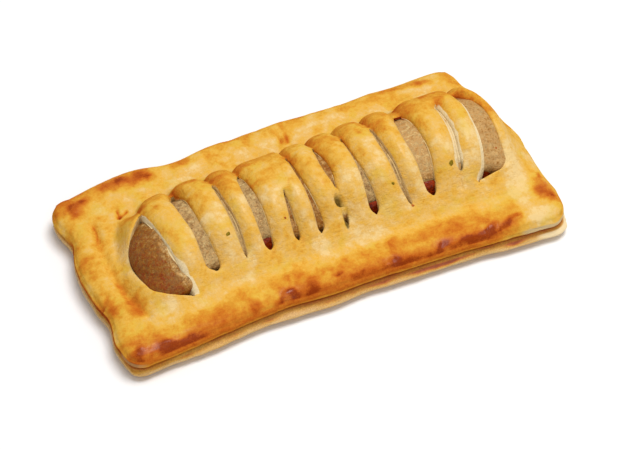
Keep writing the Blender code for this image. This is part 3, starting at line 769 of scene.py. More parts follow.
    def brown(self):
        """How far each point has baked, from 0, pale, to 1, dark brown, with painted light and shade on the
        strips, and its gloss and bare dough.
        """
        x, y = self.x, self.y
        on_arch = ease(self.arch * 3.0)
        front = self.edges[2]
        by_front = fall(front, 14.0, 9.0)
        level = 0.29 + 0.3 * by_front + 0.05 * ease(self.arch * 2.0)
        level += 0.17 * fall(front, 6.0, 5.0) * rise(x, -84.0, 10.0) * fall(x, 68.0, 8.0)
        for edge, end, fade, amount in EDGE_BROWNING:
            level += amount * fall(self.edges[edge], end, fade)
        for points, width, _, browned in CREASES:
            level += browned * bell(line_distance(x, y, points), 0.0, width)

        # The strips are palest low in front, as painted light on their front slopes, and brown towards the
        # back.
        level -= 0.13 * rise(y, -20.0, 4.0) * fall(y, 2.0, 8.0) * on_arch
        level += 0.2 * rise(y, 4.0, 12.0) * fall(y, 28.0, 6.0) * on_arch

        # Each is darker and browner along the cut to its left, partly browning and partly painted shade,
        # and pale along the one to its right;
        # the grooves behind the cuts are browner too, partly browning and partly painted shade.
        (left_gap, right_gap), (left_open, right_open) = self.gap, self.open
        level += 0.26 * np.exp(-left_gap / 1.7) * left_open * rise(y, -9.0, 16.0)
        behind = (1.0 - left_open) * rise(y, 8.0, 4.0) * fall(y, 25.0, 5.0)
        behind *= on_arch * fall(x, 60.0, 6.0) * (1.0 - self.merged)
        level += 0.2 * np.exp(-((left_gap / 2.6) ** 1.5)) * behind
        level -= 0.06 * np.exp(-right_gap / 1.2) * right_open
        level += 0.09 * self.noise(6.5, 15) + 0.06 * self.noise(2.6, 16) + 0.06 * self.crinkles

        # Spots and patches have ragged outlines, so they are looked up from displaced points.
        spot_x = x + 1.1 * self.noise(4.0, 11) + 0.4 * self.noise(1.4, 12)
        spot_y = y + 0.9 * self.noise(4.0, 13) + 0.4 * self.noise(1.4, 14)
        for spot in BROWNING:
            level += spot[5] * np.exp(-((oval(spot_x, spot_y, spot) / 0.95) ** 2.6))
        darker, paler = (ease(noise(size, seed, spot_x, spot_y) * 4.0 - 0.4) for size, seed in PATCHES)
        level += 0.12 * darker * (1.0 - 0.7 * by_front) - 0.13 * paler
        self.level = unit(level)

        # Egg wash lies thickest on the arch's front. Bare dough shows where a cut tore it.
        sheen = np.clip(0.6 + 1.3 * self.noise(3.0, 23), 0.0, 1.8)
        self.gloss = 0.34 * sheen * (1.0 - rise(y, -2.0, 9.0)) * on_arch
        self.gloss += sum(bell(oval(spot_x, spot_y, spot), 0.0, 1.0) * spot[5] for spot in GLOSS)
        torn = 1.0 + 4.0 * fall(x, -48.0, 4.0) * fall(y, -12.0, 8.0) * self.white
        widths = self.lip[..., 0] * (1.0 + 0.3 * self.noise(2.4, 17)) * torn
        self.bare = (ease((widths - self.gap) / 0.7 + 0.5) * self.open).max(axis=0)

    def shown_cells(self):
        """Which cells between the columns and rows are dough, and not part of a cut."""
        shown = np.ones((len(self.band) - 1, len(self.middle)), dtype=bool)
        for cut, points in enumerate(CUTS):
            is_cut = (self.middle > points[0][0] - CUT_MARGIN) & (self.middle < points[-1][0] + CUT_MARGIN)
            if cut == BRIDGED_CUT:
                is_cut &= (self.middle < BRIDGE[0]) | (self.middle > BRIDGE[1])
            shown[self.left_column(cut), is_cut] = False
        return shown

    def left_column(self, cut):
        """The column of points along a cut's left side."""
        return np.nonzero(self.band == cut)[0][-1]


def upper_sheet_solid():
    """The upper sheet: two faces, a rim and a wall at every cut."""
    sheet = UpperSheet()
    under = cavity_roof(sheet.x, sheet.y)
    x, y = rounded_corner(sheet.x, sheet.y, TOP_INSET)
    x, y = x + 0.22 * noise(9.0, 21, x, y), y + 0.22 * noise(9.0, 22, x, y)
    solid = Solid("bake", "bare", "gloss", "white", "stain", "pit")
    above = solid.add(x, y, sheet.z, bake=sheet.level, bare=sheet.bare, gloss=sheet.gloss,
                      white=sheet.white, pit=sheet.pit)
    below = solid.add(x, y, under, bake=0.1, bare=1.0, white=0.3)
    shown = sheet.shown_cells()
    solid.sheet(above, shown)
    solid.sheet(below, shown, turned=True)
    close_upper_rim(solid, above, below, sheet, Rim(x, y))

    # The walls of the cuts, along their sides and across their ends.
    for cut in range(LAST_CUT + 1):
        column = sheet.left_column(cut)
        gone = np.nonzero(~shown[column])[0]
        for run in np.split(gone, np.nonzero(np.diff(gone) > 1)[0] + 1):
            loop = [(column, row) for row in range(run[0], run[-1] + 2)]
            loop += [(column + 1, row) for row in range(run[-1] + 1, run[0] - 1, -1)]
            i, j = np.array(loop).T
            facing = np.where(i == column, 1.0, -1.0)
            width = np.abs(x[column + 1, j] - x[column, j])
            whites = [WHITE_LIPS.get((cut, side), 0.0) for side in ("left", "right")]
            white = np.where(facing > 0.0, *whites)
            stain = ease(y[i, j] - STAINED_CUT[1]) if cut == STAINED_CUT[0] else 0.0
            rings = [above[i, j]]
            for share in ring_shares(CUT_RINGS):
                z = lerp(sheet.z[i, j], under[i, j], share)
                lumps = 0.06 * noise((2.0, 2.0, 1.2), 27, x[i, j], y[i, j], z)
                out = (SWOLLEN.get(cut, LEAST_SWOLLEN) * width + lumps) * bulge(share)
                out = np.minimum(out, MOST_SWOLLEN * width) * facing
                rings.append(solid.add(x[i, j] + out, y[i, j], z, bake=0.12 + 0.1 * share, bare=1.0,
                                       white=white, stain=stain))
            solid.tube([*rings, below[i, j]])
    return solid


def close_upper_rim(solid, above, below, sheet, rim):
    """The upper sheet's rim: it bulges, and thin layers of dough stand out of it."""
    baked = rim_loop(sheet.level)
    glossy = rim.faces_front * rise(rim.x, -86.0, 6.0) * fall(rim.x, 62.0, 12.0)
    faces_left = ease(-rim.out_x * 2.0 - 0.6) * fall(rim.y, 24.0, 8.0)
    open_dough = rise(rim.x, 60.0, 9.0) * fall(rim.y, -14.0, 12.0)
    torn_corner = 0.5 * fall(rim.x, -74.0, 5.0) * fall(rim.y, -30.0, 5.0)

    def finish(share, z):
        layers = 0.13 * np.sin(2.0 * math.pi * z / RIM_LAYER + 3.0 * rim.noise(9.0, 24))
        layers += 0.22 * rim.noise((2.6, 2.6, 0.8), 25, z)
        out = RIM_BULGE * bulge(share) + layers * math.sin(math.pi * share) * (1.0 - 0.6 * glossy)
        out = out - 0.25 * rise(share, 0.76, 0.15)
        pale = 0.36 + 0.1 * rim.noise((6.0, 6.0, 0.9), 26, z)
        brown = 0.8 - 0.18 * rise(share, 0.4, 0.2) + 0.05 * rise(share, 0.72, 0.12)
        tone = lerp(lerp(pale, baked, ease(1.0 - share * 1.4)), brown, glossy)
        tone += 0.35 * rise(share, 0.7, 0.15) * (1.0 - glossy) * (1.0 - 1.6 * torn_corner)
        tone += 0.5 * rise(share, 0.16, 0.2) * faces_left
        bare = np.maximum(0.25 * (1.0 - glossy) * (share < 0.7),
                          (0.9 * open_dough + torn_corner) * rise(share, 0.12, 0.2))
        return out, {"bake": unit(tone), "bare": bare, "white": 0.45 * open_dough}

    rim.close(solid, above, below, (rim_loop(sheet.z), SEAM), RIM_RINGS, finish)


# ---------------------------------------------------------------- the lower sheet


def lower_sheet_solid():
    """The lower sheet: flat underneath, layered round its edge, a bed for the filling."""
    shares_x, shares_y = (spread(steps, BASE_BUNCH) for steps in BASE_STEPS)
    x = np.zeros((len(shares_x), len(shares_y)))
    for _ in range(3):
        y = lerp(curve(FRONT_EDGE, x) + BASE_INSET, curve(BACK_EDGE, x) - BASE_INSET, shares_y[None, :])
        x = lerp(curve(LEFT_EDGE, y) + BASE_INSET, curve(RIGHT_EDGE, y) - BASE_INSET, shares_x[:, None])
    to_rim = edge_distances(x, y, BASE_INSET).min(axis=0)
    x, y = rounded_corner(x, y, BASE_INSET)
    bed = fall(np.abs(y - curve(CENTRE, x)), BED_HALF, BED_SLOPE)
    bed *= rise(x, BED_LEFT, BED_SLOPE) * fall(x, BED_RIGHT, BED_SLOPE)
    z = lerp(BASE_THICK - 0.15, BED_TOP, bed) - 0.7 * round_off(1.0 - to_rim / BASE_ROUND)
    foot = 1.7 * round_off(1.0 - to_rim / 4.0) + 0.12 * unit(noise(7.0, 31, x, y))
    tone = lerp(0.34, 0.48, rise(x, -40.0, 30.0))
    tone += 0.16 * noise(6.0, 32, x, y) + 0.08 * noise(1.8, 33, x, y)
    by_seam = 0.26 * rise(to_rim, -0.2, 0.8) * fall(to_rim, 8.0, 3.0)
    solid = Solid("bake", "bare")
    above = solid.add(x, y, z, bake=unit(tone + 0.06 + by_seam))
    below = solid.add(x, y, foot, bake=unit(tone - 0.05), bare=0.15)
    solid.sheet(above)
    solid.sheet(below, turned=True)
    close_lower_rim(solid, above, below, (rim_loop(z), rim_loop(foot)), Rim(x, y))
    return solid


def close_lower_rim(solid, above, below, heights, rim):
    """The lower sheet's rim: puffed layers, scorched in places under the upper sheet."""
    scorch = rim.noise(8.0, 34) + 0.6 * rim.noise(3.0, 41)
    scorch += 1.3 * bell(rim.x, 62.0, 4.0) + bell(rim.x, 34.0, 7.0)
    puffed = 0.5 * rim.noise(11.0, 38) + 0.3 * rim.noise(5.0, 39)
    puffed += 1.6 * rim.faces_front * (1.0 - 0.85 * bell(rim.x, -72.0, 9.0))
    puffed += 0.8 * rim.faces_front * bell(rim.x, -20.0, 9.0)
    top_tone = lerp(0.42, 0.64, rise(rim.x, -40.0, 30.0)) + 0.3 * scorch
    open_dough = 0.9 * rise(rim.x, 64.0, 10.0) * fall(rim.y, -12.0, 12.0)

    def finish(share, z):
        layers = puffed + 0.06 * np.sin(2.0 * math.pi * z / BASE_LAYER + 4.0 * rim.noise(12.0, 35))
        layers += 0.16 * rim.noise((3.0, 3.0, 0.7), 36, z)
        out = BASE_INSET * 0.9 * bulge(share) + layers * math.sin(math.pi * share)
        tone = lerp(top_tone, 0.06, ease((share - 0.02) / 0.28 - 0.25 * scorch))
        tone += 0.12 * rim.noise((5.0, 5.0, 0.6), 37, z)
        return out, {"bake": unit(tone), "bare": np.maximum(0.3 * rise(share, 0.2, 0.3), open_dough)}

    rim.close(solid, above, below, heights, BASE_RINGS, finish)


# ---------------------------------------------------------------- the sausage and its sauce


def sauce_heap(x):
    """1 where the sauce stands high in front, 0 where it stays low."""
    return unit(sum(high * np.exp(-np.abs((x - place) / width) ** 3) for place, width, high in SAUCE_HEAPS))


def redness(x):
    """How red the sauce is: elsewhere it has mixed with fat and juice from the meat."""
    return unit(sauce_heap(x) * 2.0 + 0.35 * fall(x, -50.0, 5.0) + 0.4 * rise(x, 54.0, 4.0))


def sausage_section(x):
    """(centre, middle height, half width, half height) of the sausage across the roll at x."""
    top = curve(CREST, x) - DOUGH - GAP + PLUMP
    beyond = past_arch(x, ARCH_LEFT - SAUSAGE_ENDS[0], SAUSAGE_ENDS[1] - ARCH_RIGHT)
    share = np.sqrt(1.0 - np.minimum(1.0, beyond) ** CAP_POWER)
    middle = (top + SAUSAGE_BOTTOM) / 2.0
    half_height = (top - SAUSAGE_BOTTOM) / 2.0 * share
    return curve(CENTRE, x), middle, (curve(SAUSAGE_HALF, x) + PLUMP / 2.0) * share, half_height


def sausage_solid():
    """The sausage: coarse meat under a thin skin, browned most at its left end."""
    even = np.linspace(0.0, math.pi, SAUSAGE_STATIONS + 1)[1:-1]
    x = lerp(*SAUSAGE_ENDS, lerp((1.0 - np.cos(even)) / 2.0, even / math.pi, 0.45))[:, None]
    centre, middle, half_width, half_height = sausage_section(x)
    angle = np.linspace(0.0, 2.0 * math.pi, SAUSAGE_SIDES, endpoint=False)[None, :]
    cos, sin = np.cos(angle), np.sin(angle)
    y, z = centre + half_width * cos, middle + half_height * sin

    # The meat is lumpy and its skin wrinkles lengthwise. Both sides swell below the shoulders.
    out = 0.1 * noise(3.2, 41, x, y, z) + 0.1 * noise(1.5, 42, x, y, z) + 0.05 * noise(0.9, 43, x, y, z)
    out -= 0.12 + 0.12 * ease((noise((6.0, 1.6, 2.0), 44, x, y, z) - 0.1) * 2.0) * rise(x, -52.0, 20.0)
    side = fall(sin, 0.55, 0.6) * unit(half_width / 8.0)
    front_swell = FRONT_SWELL + LEFT_SWELL * fall(x, -47.0, 5.0) + RIGHT_SWELL * rise(x, 62.0, 4.0)
    front_swell *= 1.0 - 0.95 * unit(sauce_heap(x) * 1.4)
    out += side * (front_swell * unit(-cos) + BACK_SWELL * unit(cos))
    y, z = y + out * cos, z + out * sin

    # Fat blooms along the left opening's right side, and the end grows darker towards its bottom.
    bloom = bell(np.maximum(cut_side(0, y, 2) - x, 0.0), 0.0, 3.0) * fall(x, -50.0, 2.0)
    bloom *= rise(z, middle, 3.0) * (0.7 + 0.5 * noise(1.6, 47, x, y, z))
    darker_below = fall(x, -50.0, 4.0) * fall(z, middle + 6.0, 8.0)
    # The meat under the narrow middle cuts is darkened as painted shade.
    level = curve(MEAT_TONE_AND_SHADE, x) + 0.08 * noise(3.0, 45, x, y, z) - 0.55 * bloom + 0.3 * darker_below
    pale = ease((noise((2.2, 1.5, 1.5), 46, x, y, z) + 0.05) * 2.5)
    pale *= fall(np.abs(x), 46.0, 4.0) * (0.35 + 0.65 * rise(x, 34.0, 2.0))
    solid = Solid("bake", "fat", "smooth")
    body = solid.add(x, y, z, bake=unit(level), fat=unit(pale + 0.9 * bloom), smooth=rise(x, 32.0, 4.0))
    solid.tube(body)
    for end, ring, level in zip(SAUSAGE_ENDS, (body[0], body[-1]), (1.0, 0.34)):
        centre, middle, _, _ = sausage_section(end)
        tip = np.full(len(ring) // 2, solid.add(end, centre, middle, bake=level))
        solid.quads(tip, ring[::2], ring[1::2], np.roll(ring, -2)[::2])
    return solid


def sauce_walls(x, centre, half_width, tops):
    """The sauce's front and back walls from the floor up, as far out as the cavity lets them."""
    walls = []
    clears = lerp(SAUCE_CLEAR, SAUCE_HEAP_CLEAR, sauce_heap(x)), SAUCE_CLEAR
    for side, top, clear in zip((-1.0, 1.0), tops, clears):
        points = []
        for share in np.linspace(0.0, 1.0, WALL_STEPS + 1):
            z = lerp(SAUCE_FLOOR + SAUCE_BEND, top, share)
            reach = curve(CAVITY_HALF, x)
            for _ in range(WALL_MOVES):
                low = cavity_roof(x, centre + side * reach) < z + clear
                free = reach > half_width + LEAST_SAUCE
                reach = np.where(low & free, reach - WALL_MOVE, reach)
            points.append((centre + side * reach, z))
        walls.append(points)
    return walls


def sauce_solid():
    """Thick sauce under the sausage and up both its sides, in a lumpy, wet surface."""
    x = np.linspace(SAUCE_LOW[0] + SAUCE_MARGIN, SAUCE_HIGH[0] - SAUCE_MARGIN, SAUCE_STATIONS)
    centre, middle, half_width, half_height = sausage_section(x)
    half_width, half_height = half_width + GAP, half_height + GAP
    front_top = lerp(SAUCE_FRONT_LOW, SAUCE_FRONT_HIGH, sauce_heap(x)) - 5.0 * fall(x, -45.0, 5.0)
    back_top = SAUCE_BACK_TOP - SAUCE_MARGIN
    tops = front_top + 0.25 * noise(2.5, 51, x), back_top + 0.2 * noise(3.0, 52, x)
    front, back = sauce_walls(x, centre, half_width, tops)
    floor_ends = front[0][0] + FLOOR_INSET, back[0][0] - FLOOR_INSET
    floor = [(lerp(*floor_ends, share), np.full_like(x, SAUCE_FLOOR))
             for share in np.linspace(0.0, 1.0, FLOOR_STEPS + 1)]
    outer = [*front[::-1], *floor, *back]
    start, end = (np.arcsin(np.clip((top - middle) / half_height, -1.0, 1.0)) for top in tops)
    shares = np.linspace(0.0, 1.0, len(outer))[:, None]
    angle = lerp(math.pi - start, 2.0 * math.pi + end, shares)
    solid = Solid("red")
    outside = solid.add(x, *np.stack(outer, axis=1), red=redness(x))
    inside = solid.add(x, centre + half_width * np.cos(angle), middle + half_height * np.sin(angle),
                       red=redness(x))
    solid.sheet(outside)
    solid.sheet(inside, turned=True)
    for row in (0, -1):
        # The top of the sauce is a strip of its own, raised in its middle.
        both = np.concatenate(solid.points)[np.stack([outside[row], inside[row]])]
        ridge_x, ridge_y, ridge_z = both.mean(axis=0).T
        ridge_z = ridge_z + 0.25 + 0.25 * noise(1.6, 53, ridge_x, ridge_y)
        crest = solid.add(ridge_x, ridge_y, ridge_z, red=redness(x))
        solid.sheet(np.stack([outside[row], crest, inside[row]]), turned=True)
    for column in (0, -1):
        solid.sheet(np.stack([outside[:, column], inside[:, column]]))
    return solid


# ---------------------------------------------------------------- crumbs of herb and spice


def bits_solid(spots, ground, seed):
    """Flat, ragged bits that lie on the surface of another piece, joined in one mesh."""
    solid = Solid("bake")
    angles = np.linspace(0.0, 2.0 * math.pi, BIT_SIDES, endpoint=False)
    cos, sin = np.cos(angles), np.sin(angles)
    for number, (x, y, length, width, turn) in enumerate(spots):
        start = Vector((x * MM, y * MM, LOOK_DOWN_FROM))
        hits = [hit for hit in (piece.ray_cast(start, Vector((0, 0, -1))) for piece in ground) if hit[0]]
        if not hits:
            raise RuntimeError(f"no surface under the bit at {x}, {y}")
        _, place, normal, _ = hits[0]
        up = np.array(normal)
        along = np.cross([-math.sin(math.radians(turn)), math.cos(math.radians(turn)), 0.0], up)
        along /= np.linalg.norm(along)
        aside = np.cross(up, along)
        ragged = 1.0 + 0.28 * noise(1.5, seed, 3.0 * cos, 3.0 * sin, number * 5.0)
        rings = []
        for level, size in BIT_PROFILE:
            points = np.array(place) / MM + up * level
            points = points + (size * ragged * cos * length / 2.0)[:, None] * along
            points = points + (size * ragged * sin * width / 2.0)[:, None] * aside
            rings.append(solid.add(*points.T, bake=0.5))
        solid.tube(rings)
        last = rings[-1]
        first = np.full(BIT_SIDES // 2 - 1, last[0])
        solid.quads(first, last[1:-2:2], last[2:-1:2], last[3::2])
    return solid


# ---------------------------------------------------------------- shader graphs


def srgb(red, green, blue):
    """A linear colour from display values of 0 to 255."""
    parts = [value / 255.0 for value in (red, green, blue)]
    return tuple(p / 12.92 if p <= 0.04045 else ((p + 0.055) / 1.055) ** 2.4 for p in parts)


class Socket:
    """An output of a node tree. Sums, differences and products of these add Math nodes."""

    def __init__(self, graph, output):
        self.graph = graph
        self.output = output

    def maths(self, operation, first, second):
        return self.graph.node("ShaderNodeMath", {"operation": operation}, {0: first, 1: second})

    def __add__(self, other):
        return self.maths("ADD", self, other)

    def __radd__(self, other):
        return self.maths("ADD", other, self)

    def __sub__(self, other):
        return self.maths("SUBTRACT", self, other)

    def __rsub__(self, other):
        return self.maths("SUBTRACT", other, self)

    def __mul__(self, other):
        return self.maths("MULTIPLY", self, other)

    def __rmul__(self, other):
        return self.maths("MULTIPLY", other, self)

    def clamped(self):
        return self.graph.node("ShaderNodeClamp", {}, {"Value": self})

    def step(self, low, high):
        """0 below low, 1 above high, smooth between."""
        settings = {"interpolation_type": "SMOOTHSTEP"}
        return self.graph.node("ShaderNodeMapRange", settings,
                               {"Value": self, "From Min": low, "From Max": high})


class Finish:
    """A material and the tools to build its node tree."""

    def __init__(self, name, **constants):
        self.material = bpy.data.materials.new(name)
        self.material.use_nodes = True
        self.tree = self.material.node_tree
        self.shader = self.tree.nodes["Principled BSDF"]
        for socket, value in constants.items():
            self.shader.inputs[socket.replace("_", " ")].default_value = value

    def node(self, kind, settings, inputs, output=0):
        """Adds a node, sets it up, then fills its sockets with values or links."""
        made = self.tree.nodes.new(kind)
        for name, value in settings.items():
            if name == "stops":
                self.set_stops(made.color_ramp, value)
            else:
                setattr(made, name, value)
        for key, value in inputs.items():
            if isinstance(value, Socket):
                self.tree.links.new(value.output, made.inputs[key])
            else:
                made.inputs[key].default_value = value
        return Socket(self, made.outputs[output])

    @staticmethod
    def set_stops(ramp, stops):
        while len(ramp.elements) < len(stops):
            ramp.elements.new(1.0)
        for element, (position, colour) in zip(ramp.elements, stops):
            element.position = position
            element.color = (*colour, 1.0)

    def place(self, stretch=(1.0, 1.0, 1.0)):
        """The point's place on the object in millimetres, divided by stretch."""
        spot = self.node("ShaderNodeTexCoord", {}, {}, "Object")
        scale = tuple(1.0 / (MM * part) for part in stretch)
        return self.node("ShaderNodeVectorMath", {"operation": "MULTIPLY"}, {0: spot, 1: scale})

    def value(self, name):
        """A named value of the mesh's points."""
        return self.node("ShaderNodeAttribute", {"attribute_name": name}, {}, "Fac")

    def grain(self, place, size, detail=2.0, roughness=0.6, distortion=0.0):
        """Noise from 0 to 1, about 0.5, with features about size across."""
        return self.node("ShaderNodeTexNoise", {}, {
            "Vector": place, "Scale": 1.0 / size, "Detail": detail,
            "Roughness": roughness, "Distortion": distortion})

    def ramp(self, factor, stops):
        """Runs through colours, given as (position, colour), as the factor rises."""
        return self.node("ShaderNodeValToRGB", {"stops": stops}, {"Fac": factor}, "Color")

    def mix(self, factor, first, second):
        """Blends two colours."""
        pair = [item if isinstance(item, Socket) else (*item, 1.0) for item in (first, second)]
        return self.node("ShaderNodeMix", {"data_type": "RGBA"}, {0: factor, 6: pair[0], 7: pair[1]}, 2)

    def relief(self, height, distance_mm):
        """A normal bent by a height from 0 to 1 that stands for distance_mm."""
        return self.node("ShaderNodeBump", {}, {"Height": height, "Distance": distance_mm * MM})

    def feed(self, **links):
        for socket, value in links.items():
            self.tree.links.new(value.output, self.shader.inputs[socket.replace("_", " ")])
        return self.material


def crust_stops(look):
    """The colours that pastry goes through as it bakes."""
    return ((0.0, look.pale), (0.2, look.cream), (0.38, look.yellow), (0.54, look.golden),
            (0.7, look.orange), (0.86, look.brown), (1.0, look.dark))


def crust_finish(look):
    """Egg-washed puff pastry: mottled gold, darker on blisters, bare dough at the cuts."""
    finish = Finish("glazed crust", Metallic=0.0, IOR=1.45, Coat_Roughness=0.26, Coat_IOR=1.45,
                    Specular_IOR_Level=0.0)
    place = finish.place()
    broad = finish.grain(place, 5.0, 3.0, 0.55)
    small = finish.grain(place, 1.1, 3.0)
    fine = finish.grain(place, 0.4)
    middle = finish.grain(place, 2.4, 2.0, 0.5)
    patches = ((broad - 0.5) + (middle - 0.5) * 0.8 + (small - 0.5) * 0.8) * look.mottling
    level = finish.value("bake") + patches * (1.2 - finish.value("bake"))
    level = (level + (fine - 0.5) * 0.22).clamped()
    colour = finish.ramp(level, crust_stops(look))
    lemon = finish.grain(place, 7.0, 2.0, 0.5).step(0.5, 0.7) * (1.0 - level.step(0.4, 0.6))
    colour = finish.mix(lemon * 0.4, colour, look.lemon)
    layers = finish.grain(finish.place((4.0, 4.0, 0.9)), 1.0)
    dough = finish.mix(layers.step(0.2, 0.8), look.dough_shade, look.dough)
    dough = finish.mix(finish.value("white") * 0.7, dough, look.white)
    bare = finish.value("bare").step(0.2, 0.8)
    colour = finish.mix(bare, colour, dough)
    colour = finish.mix(finish.value("stain").clamped(), colour, look.stain)
    # Painted shade in the bottoms of the pits.
    colour = finish.mix(finish.value("pit").clamped() * (0.7 + small * 0.4), colour, look.pit)
    rough = finish.grain(place, 2.4)
    roughness = (0.42 + (rough - 0.5) * 0.3 + bare * 0.3).clamped()
    coat = ((1.0 - bare) * (0.01 + finish.value("gloss") * 0.7)).clamped()
    along = finish.grain(finish.place((2.4, 1.0, 1.0)), 1.1, 3.0)
    height = small * 0.4 + fine * 0.3 + along * 0.7 + finish.grain(place, 2.6, 2.0, 0.5) * 0.8
    normal = finish.relief(height, look.wrinkles)
    return finish.feed(Base_Color=colour, Roughness=roughness, Coat_Weight=coat, Normal=normal)


def base_finish(look):
    """The lower sheet: pale, layered dough with a browned upper edge."""
    finish = Finish("base dough", Metallic=0.0, IOR=1.45, Specular_IOR_Level=0.3)
    small = finish.grain(finish.place(), 1.3, 3.0)
    level = (finish.value("bake") + (small - 0.5) * 0.2).clamped()
    colour = finish.ramp(level, crust_stops(look))
    layers = finish.grain(finish.place((5.0, 5.0, 0.5)), 1.0)
    dough = finish.mix(layers.step(0.35, 0.65), look.dough_shade, look.dough)
    bare = finish.value("bare")
    colour = finish.mix(bare * 0.6, colour, dough)
    streaks = finish.grain(finish.place((0.4, 0.4, 1.6)), 1.0, 3.0).step(0.3, 0.75)
    colour = finish.mix((0.12 + streaks * 0.46) * (1.0 - bare), colour, look.toast)
    colour = finish.mix((bare * 2.0 - 1.0).clamped() * 0.85, colour, look.white)
    roughness = (0.5 + (small - 0.5) * 0.2).clamped()
    normal = finish.relief(small + layers * 0.6, 0.25)
    return finish.feed(Base_Color=colour, Roughness=roughness, Normal=normal)


def meat_finish(look):
    """Cooked sausage meat: coarse and speckled, with pale fat, browned at one end."""
    finish = Finish("sausage meat", Metallic=0.0, IOR=1.42, Specular_IOR_Level=0.2)
    place = finish.place()
    coarse = finish.grain(place, 1.5, 3.0, 0.65)
    fine = finish.grain(place, 0.5)
    level = finish.value("bake")
    stops = ((0.0, look.fatty), (0.3, look.meat), (0.62, look.lean), (1.0, look.browned))
    meat = finish.ramp((level * 0.86 + (coarse - 0.5) * 1.3 + (fine - 0.5) * 0.6).clamped(), stops)
    fat = finish.grain(place, 1.9, 3.0, 0.6, 1.2).step(0.5, 0.62) * (0.3 + finish.value("fat") * 0.55)
    meat = finish.mix((fat * (1.0 - level)).clamped(), meat, look.fat)
    clots = finish.grain(place, 2.0, 4.0, 0.65, 0.8).step(0.46, 0.62)
    meat = finish.mix(clots * (0.62 - finish.value("smooth") * 0.34), meat, look.clot)
    specks = finish.grain(place, 0.6, 1.0, 0.5).step(0.56, 0.7)
    meat = finish.mix(specks * (0.45 - finish.value("smooth") * 0.33), meat, look.speck)
    roughness = (0.45 + (fine - 0.5) * 0.3).clamped()
    normal = finish.relief(coarse + fine * 0.6, 0.5)
    return finish.feed(Base_Color=meat, Roughness=roughness, Normal=normal)


def sauce_finish(look):
    """Dark red sauce, wet and slightly lumpy."""
    finish = Finish("dark sauce", Metallic=0.0, IOR=1.4, Specular_IOR_Level=0.15, Coat_Weight=0.25,
                    Coat_Roughness=0.1)
    lumps = finish.grain(finish.place(), 1.4, 3.0)
    colour = finish.mix(lumps.step(0.35, 0.7), look.deep, look.red)
    juice = finish.mix(lumps.step(0.3, 0.65), look.juice, look.crumb)
    colour = finish.mix(finish.value("red").step(0.15, 0.75), juice, colour)
    roughness = (0.2 + (lumps - 0.5) * 0.2).clamped()
    return finish.feed(Base_Color=colour, Roughness=roughness, Normal=finish.relief(lumps, 0.6))


def bit_finish(name, dark, light):
    """Rough, dry bits, in two blended colours."""
    finish = Finish(name, Metallic=0.0, Roughness=0.6, Specular_IOR_Level=0.05)
    blend = finish.grain(finish.place(), 0.4)
    return finish.feed(Base_Color=finish.mix(blend.step(0.35, 0.65), dark, light),
                       Normal=finish.relief(blend, 0.15))


# ---------------------------------------------------------------- settings


def colour_property(name, description, default):
    return bpy.props.FloatVectorProperty(
        name=name, description=description, default=default, subtype="COLOR", min=0.0, max=1.0)


def number_property(name, description, default, **limits):
    return bpy.props.FloatProperty(name=name, description=description, default=default, **limits)


class CrustSettings(bpy.types.PropertyGroup):
    """Colours and surface of the baked pastry."""

    pale: colour_property("Pale", "Least baked crust", srgb(228, 195, 132))
    cream: colour_property("Cream", "Lightly baked crust", srgb(222, 178, 98))
    yellow: colour_property("Yellow", "Crust between cream and gold", srgb(222, 171, 70))
    lemon: colour_property("Lemon", "Greener patches of the yellow crust", srgb(214, 178, 62))
    golden: colour_property("Golden", "Well baked crust", srgb(213, 151, 50))
    orange: colour_property("Orange", "Crust past gold", srgb(202, 123, 38))
    brown: colour_property("Brown", "Browned crust", srgb(184, 92, 26))
    dark: colour_property("Dark", "Darkest crust", srgb(142, 56, 14))
    dough: colour_property("Dough", "Bare dough at a cut", srgb(210, 178, 120))
    dough_shade: colour_property("Dough shade", "Darker layers of bare dough", srgb(194, 160, 104))
    toast: colour_property("Toast", "Streaks on the lower sheet", srgb(150, 84, 36))
    stain: colour_property("Stain", "Sauce baked onto the dough", srgb(150, 44, 16))
    # Painted shade for the bottom of a small hole.
    pit: colour_property("Pit", "Olive bottom of a small hole", srgb(70, 56, 22))
    white: colour_property("White dough", "Bare dough that stayed white", srgb(240, 222, 180))
    mottling: number_property(
        "Mottling", "How unevenly the crust browned", 0.62, min=0.0, max=1.0, subtype="FACTOR")
    wrinkles: number_property(
        "Wrinkles", "Depth of the finest wrinkles in millimetres", 0.42, min=0.0, max=2.0)


class MeatSettings(bpy.types.PropertyGroup):
    """Colours of the sausage."""

    fatty: colour_property("Fatty", "Greyish, fatty meat", srgb(182, 150, 98))
    meat: colour_property("Meat", "Cooked meat", srgb(196, 150, 90))
    lean: colour_property("Lean", "Leaner, darker meat", srgb(150, 98, 30))
    browned: colour_property("Browned", "Meat at the browned end", srgb(134, 54, 2))
    fat: colour_property("Fat", "Pale bits of fat", srgb(226, 200, 138))
    clot: colour_property("Clots", "Darker lumps in the meat", srgb(128, 88, 42))
    speck: colour_property("Specks", "Dark specks of spice", srgb(100, 54, 24))


class SauceSettings(bpy.types.PropertyGroup):
    """Colours of the sauce."""

    deep: colour_property("Deep", "Sauce where it is deep", srgb(94, 20, 2))
    red: colour_property("Red", "Sauce where it is thin", srgb(152, 48, 4))
    juice: colour_property("Juice", "Sauce mixed with fat and juice", srgb(150, 112, 66))
    crumb: colour_property("Crumb", "Soaked crumbs of dough in the sauce", srgb(186, 150, 96))


class BitSettings(bpy.types.PropertyGroup):
    """Colours of the herbs and spices."""

    herb_dark: colour_property("Herb, dark", "Darker part of a bit of herb", srgb(104, 84, 14))
    herb_light: colour_property("Herb, light", "Lighter part of a bit of herb", srgb(150, 124, 30))
    spice_dark: colour_property("Spice, dark", "Darker part of a bit of spice", srgb(150, 66, 24))
    spice_light: colour_property("Spice, light", "Lighter part of a bit of spice", srgb(196, 110, 44))


